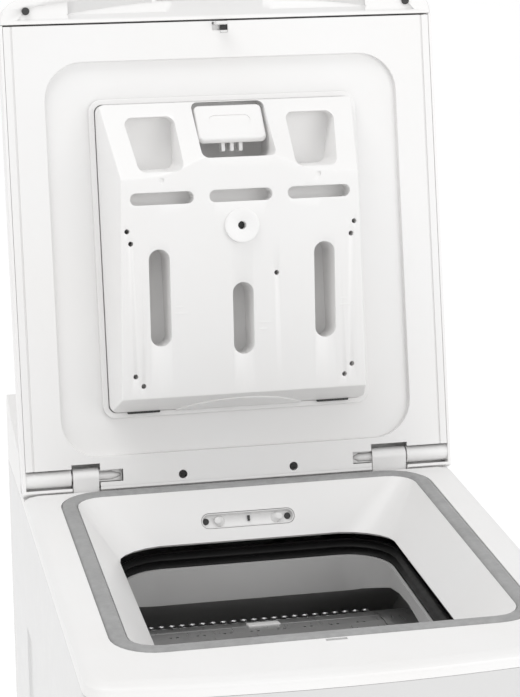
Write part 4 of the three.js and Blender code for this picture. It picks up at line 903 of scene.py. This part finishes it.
def cast(name, colour, rough, metal=0.0, scale=160, depth=0.4):
    m = Maker(name)
    grit = m.noise(scale, 8, 0.65)
    slow = m.noise(12, 4)
    return m.set(
        Base_Color=m.mix(m.span(slow * 0.5 + grit * 0.5, 0.3, 0.7, 0, 1), shade(colour * 0.75, 0.01),
                         shade(colour * 1.15, 0.01)),
        Metallic=metal,
        Roughness=m.span(grit, 0.3, 0.7, rough - 0.1, rough + 0.1),
        Normal=m.bump(grit, depth, 0.001),
    )


print("metal and concrete recipes ready")

# %% [markdown]
# ## Rubber
#
# Rubber is dull, a little dusty where nothing rubs it, and faintly mottled. Roughness stays high and
# the dust is a pale tone laid in by a noise mask.

# %% Rubbers
def rubber(name, colour, rough=0.6, dust=0.15):
    m = Maker(name)
    mottle = m.noise(130, 6, 0.65)
    slow = m.noise(14, 4)
    mask = m.span(slow, 0.35, 0.75, 0, dust)
    base = m.mix(m.span(mottle, 0.3, 0.7, 0, 1), shade(colour * 0.86), shade(colour * 1.12))
    return m.set(
        Base_Color=m.mix(mask, base, shade(min(colour * 1.9 + 0.03, 1))),
        Roughness=m.span(mottle, 0.3, 0.7, rough - 0.07, rough + 0.1),
        Normal=m.bump(mottle, 0.15, 0.0003),
        Specular_IOR_Level=0.35,
    )


FINISHES = {
    "enamel": painted("enamel", 0.68, 0.34),
    "white_plastic": moulded("white_plastic", 0.86, 0.40, 0.05, 900, 0.012, 0.1),
    "liner_plastic": moulded("liner_plastic", 0.84, 0.36, 0.03, 700, 0.01, 0.1),
    "dispenser_plastic": moulded("dispenser_plastic", 0.86, 0.36, 0.03, 800, 0.012, 0.1),
    "nozzle_plastic": moulded("nozzle_plastic", 0.80, 0.38, 0.05, 800, 0.02),
    "control_plastic": moulded("control_plastic", 0.62, 0.35, 0.06, 900, 0.03),
    "latch_plastic": moulded("latch_plastic", 0.72, 0.4, 0.05, 800, 0.02),
    "lifter_plastic": moulded("lifter_plastic", 0.55, 0.42, 0.05, 700, 0.03),
    "dark_plastic": moulded("dark_plastic", 0.025, 0.45, 0.1, 900, 0.15),
    "tub_plastic": moulded("tub_plastic", 0.50, 0.45, 0.06, 500, 0.04),
    "circuit_board": moulded("circuit_board", 0.06, 0.4, 0.1, 300, 0.2, 0.2),
    "seal_rubber": rubber("seal_rubber", 0.33, 0.55),
    "bellows_rubber": rubber("bellows_rubber", 0.008, 0.5, 0.0),
    "belt_rubber": rubber("belt_rubber", 0.03, 0.7, 0.05),
    "foot_rubber": rubber("foot_rubber", 0.05, 0.75, 0.2),
    "zinc_sheet": plated("zinc_sheet", 0.6, 0.42),
    "drum_steel": brushed("drum_steel", 0.6, 0.3, (8, 1, 1), 0.95),
    "pin_steel": brushed("pin_steel", 0.7, 0.25, (1, 8, 8)),
    "cast_aluminium": cast("cast_aluminium", 0.55, 0.45, 1.0, 260, 0.2),
    "motor_casing": cast("motor_casing", 0.35, 0.5, 0.8, 300, 0.15),
    "concrete": cast("concrete", 0.38, 0.85, 0.0, 120, 0.6),
}
print("finishes:", len(FINISHES))

# %% [markdown]
# ## Every node gets its finish
#
# The record names a material slot for each node. Each CAD object, and each finer copy, keeps its
# mesh and takes the finish of its slot.

# %% Hand out the finishes
def coat(piece, finish):
    piece.data.materials.clear()
    piece.data.materials.append(FINISHES[finish])
    return piece


given = {}
for name, node in frame["nodes"].items():
    finish = node.material_slots[0].material.name.split(".")[0]
    given[name] = finish
    node.material_slots[0].material = FINISHES[finish]
for name, piece in parts.items():
    coat(piece, given[name])
GROUPS = {
    "dispenser_plastic": [tray, boss, tab, *parts_on_tray],
    # These pieces get the dark plastic finish only to paint shade into holes, slots and the latch opening.
    "dark_plastic": [boss_hole_shade, *slot_shades, aperture_shade, notch_shade, *hole_shades_in_nozzle],
    "foot_rubber": pads,
    "white_plastic": [beds],
    "nozzle_plastic": [trough, *nozzle_cones],
    "drum_steel": [rear_flap, teeth, front_flap],
    "latch_plastic": [latch],
}
for finish, pieces in GROUPS.items():
    for piece in pieces:
        coat(piece, finish)
print("finishes given:", len(given))

# %% [markdown]
# ## The studio
#
# A white machine on a white ground is lit so that its faces differ: a broad light from the front
# right, one from above and to the left, and a pale world. The floor is a plain sheet. The camera looks
# down through a long lens, whose shift slides the picture without turning the camera.

# %% Floor, lights and camera
WORLD_STRENGTH = 0.77
bpy.ops.mesh.primitive_plane_add(size=30, location=(0, 0, -0.001))
floor = bpy.context.object
floor.name = "studio_floor"
ground = Maker("studio_ground")
ground.set(Base_Color=ground.mix(ground.span(ground.noise(2), 0.3, 0.7, 0, 1), shade(0.9), shade(0.92)),
           Roughness=0.9, Emission_Color=shade(1), Emission_Strength=0.3)
floor.data.materials.append(ground.material)

world = bpy.data.worlds.new("studio_air")
bpy.context.scene.world = world
world.use_nodes = True
air = world.node_tree
air.nodes["Background"].inputs["Color"].default_value = (1, 1, 1, 1)
air.nodes["Background"].inputs["Strength"].default_value = WORLD_STRENGTH


def lamp(name, place, target, size, power):
    bpy.ops.object.light_add(type="AREA", location=place)
    light = bpy.context.object
    light.name = name
    light.data.shape = "RECTANGLE"
    light.data.size, light.data.size_y = size
    light.data.energy = power
    light.rotation_euler = (Vector(target) - Vector(place)).to_track_quat("-Z", "Y").to_euler()
    return light


lamp("key_light", (1.6, -3.0, 1.9), (0, 0, 0.9), (1.8, 1.8), 21)
lamp("top_light", (-0.8, -0.4, 3.4), (0, 0, 0.9), (1.4, 1.4), 17)

YAW, PITCH, ROLL = math.radians(13.4), math.radians(13.74), math.radians(-0.065)
EYE = (-0.3869, -1.9539, 1.5555)
SENSOR, LENS, SHIFT_X, SHIFT_Y = 36, 168.6946, -0.2, -0.119231
bpy.ops.object.camera_add(location=EYE, rotation=(math.pi / 2 - PITCH, ROLL, -YAW))
camera = bpy.context.object
camera.name = "studio_camera"
camera.data.sensor_fit = "HORIZONTAL"
camera.data.sensor_width = SENSOR
camera.data.lens = LENS
camera.data.shift_x = SHIFT_X
camera.data.shift_y = SHIFT_Y
bpy.context.scene.camera = camera
bpy.context.scene.view_settings.view_transform = "Standard"
print("camera at", EYE, "looking down by", round(math.degrees(PITCH), 1), "degrees")
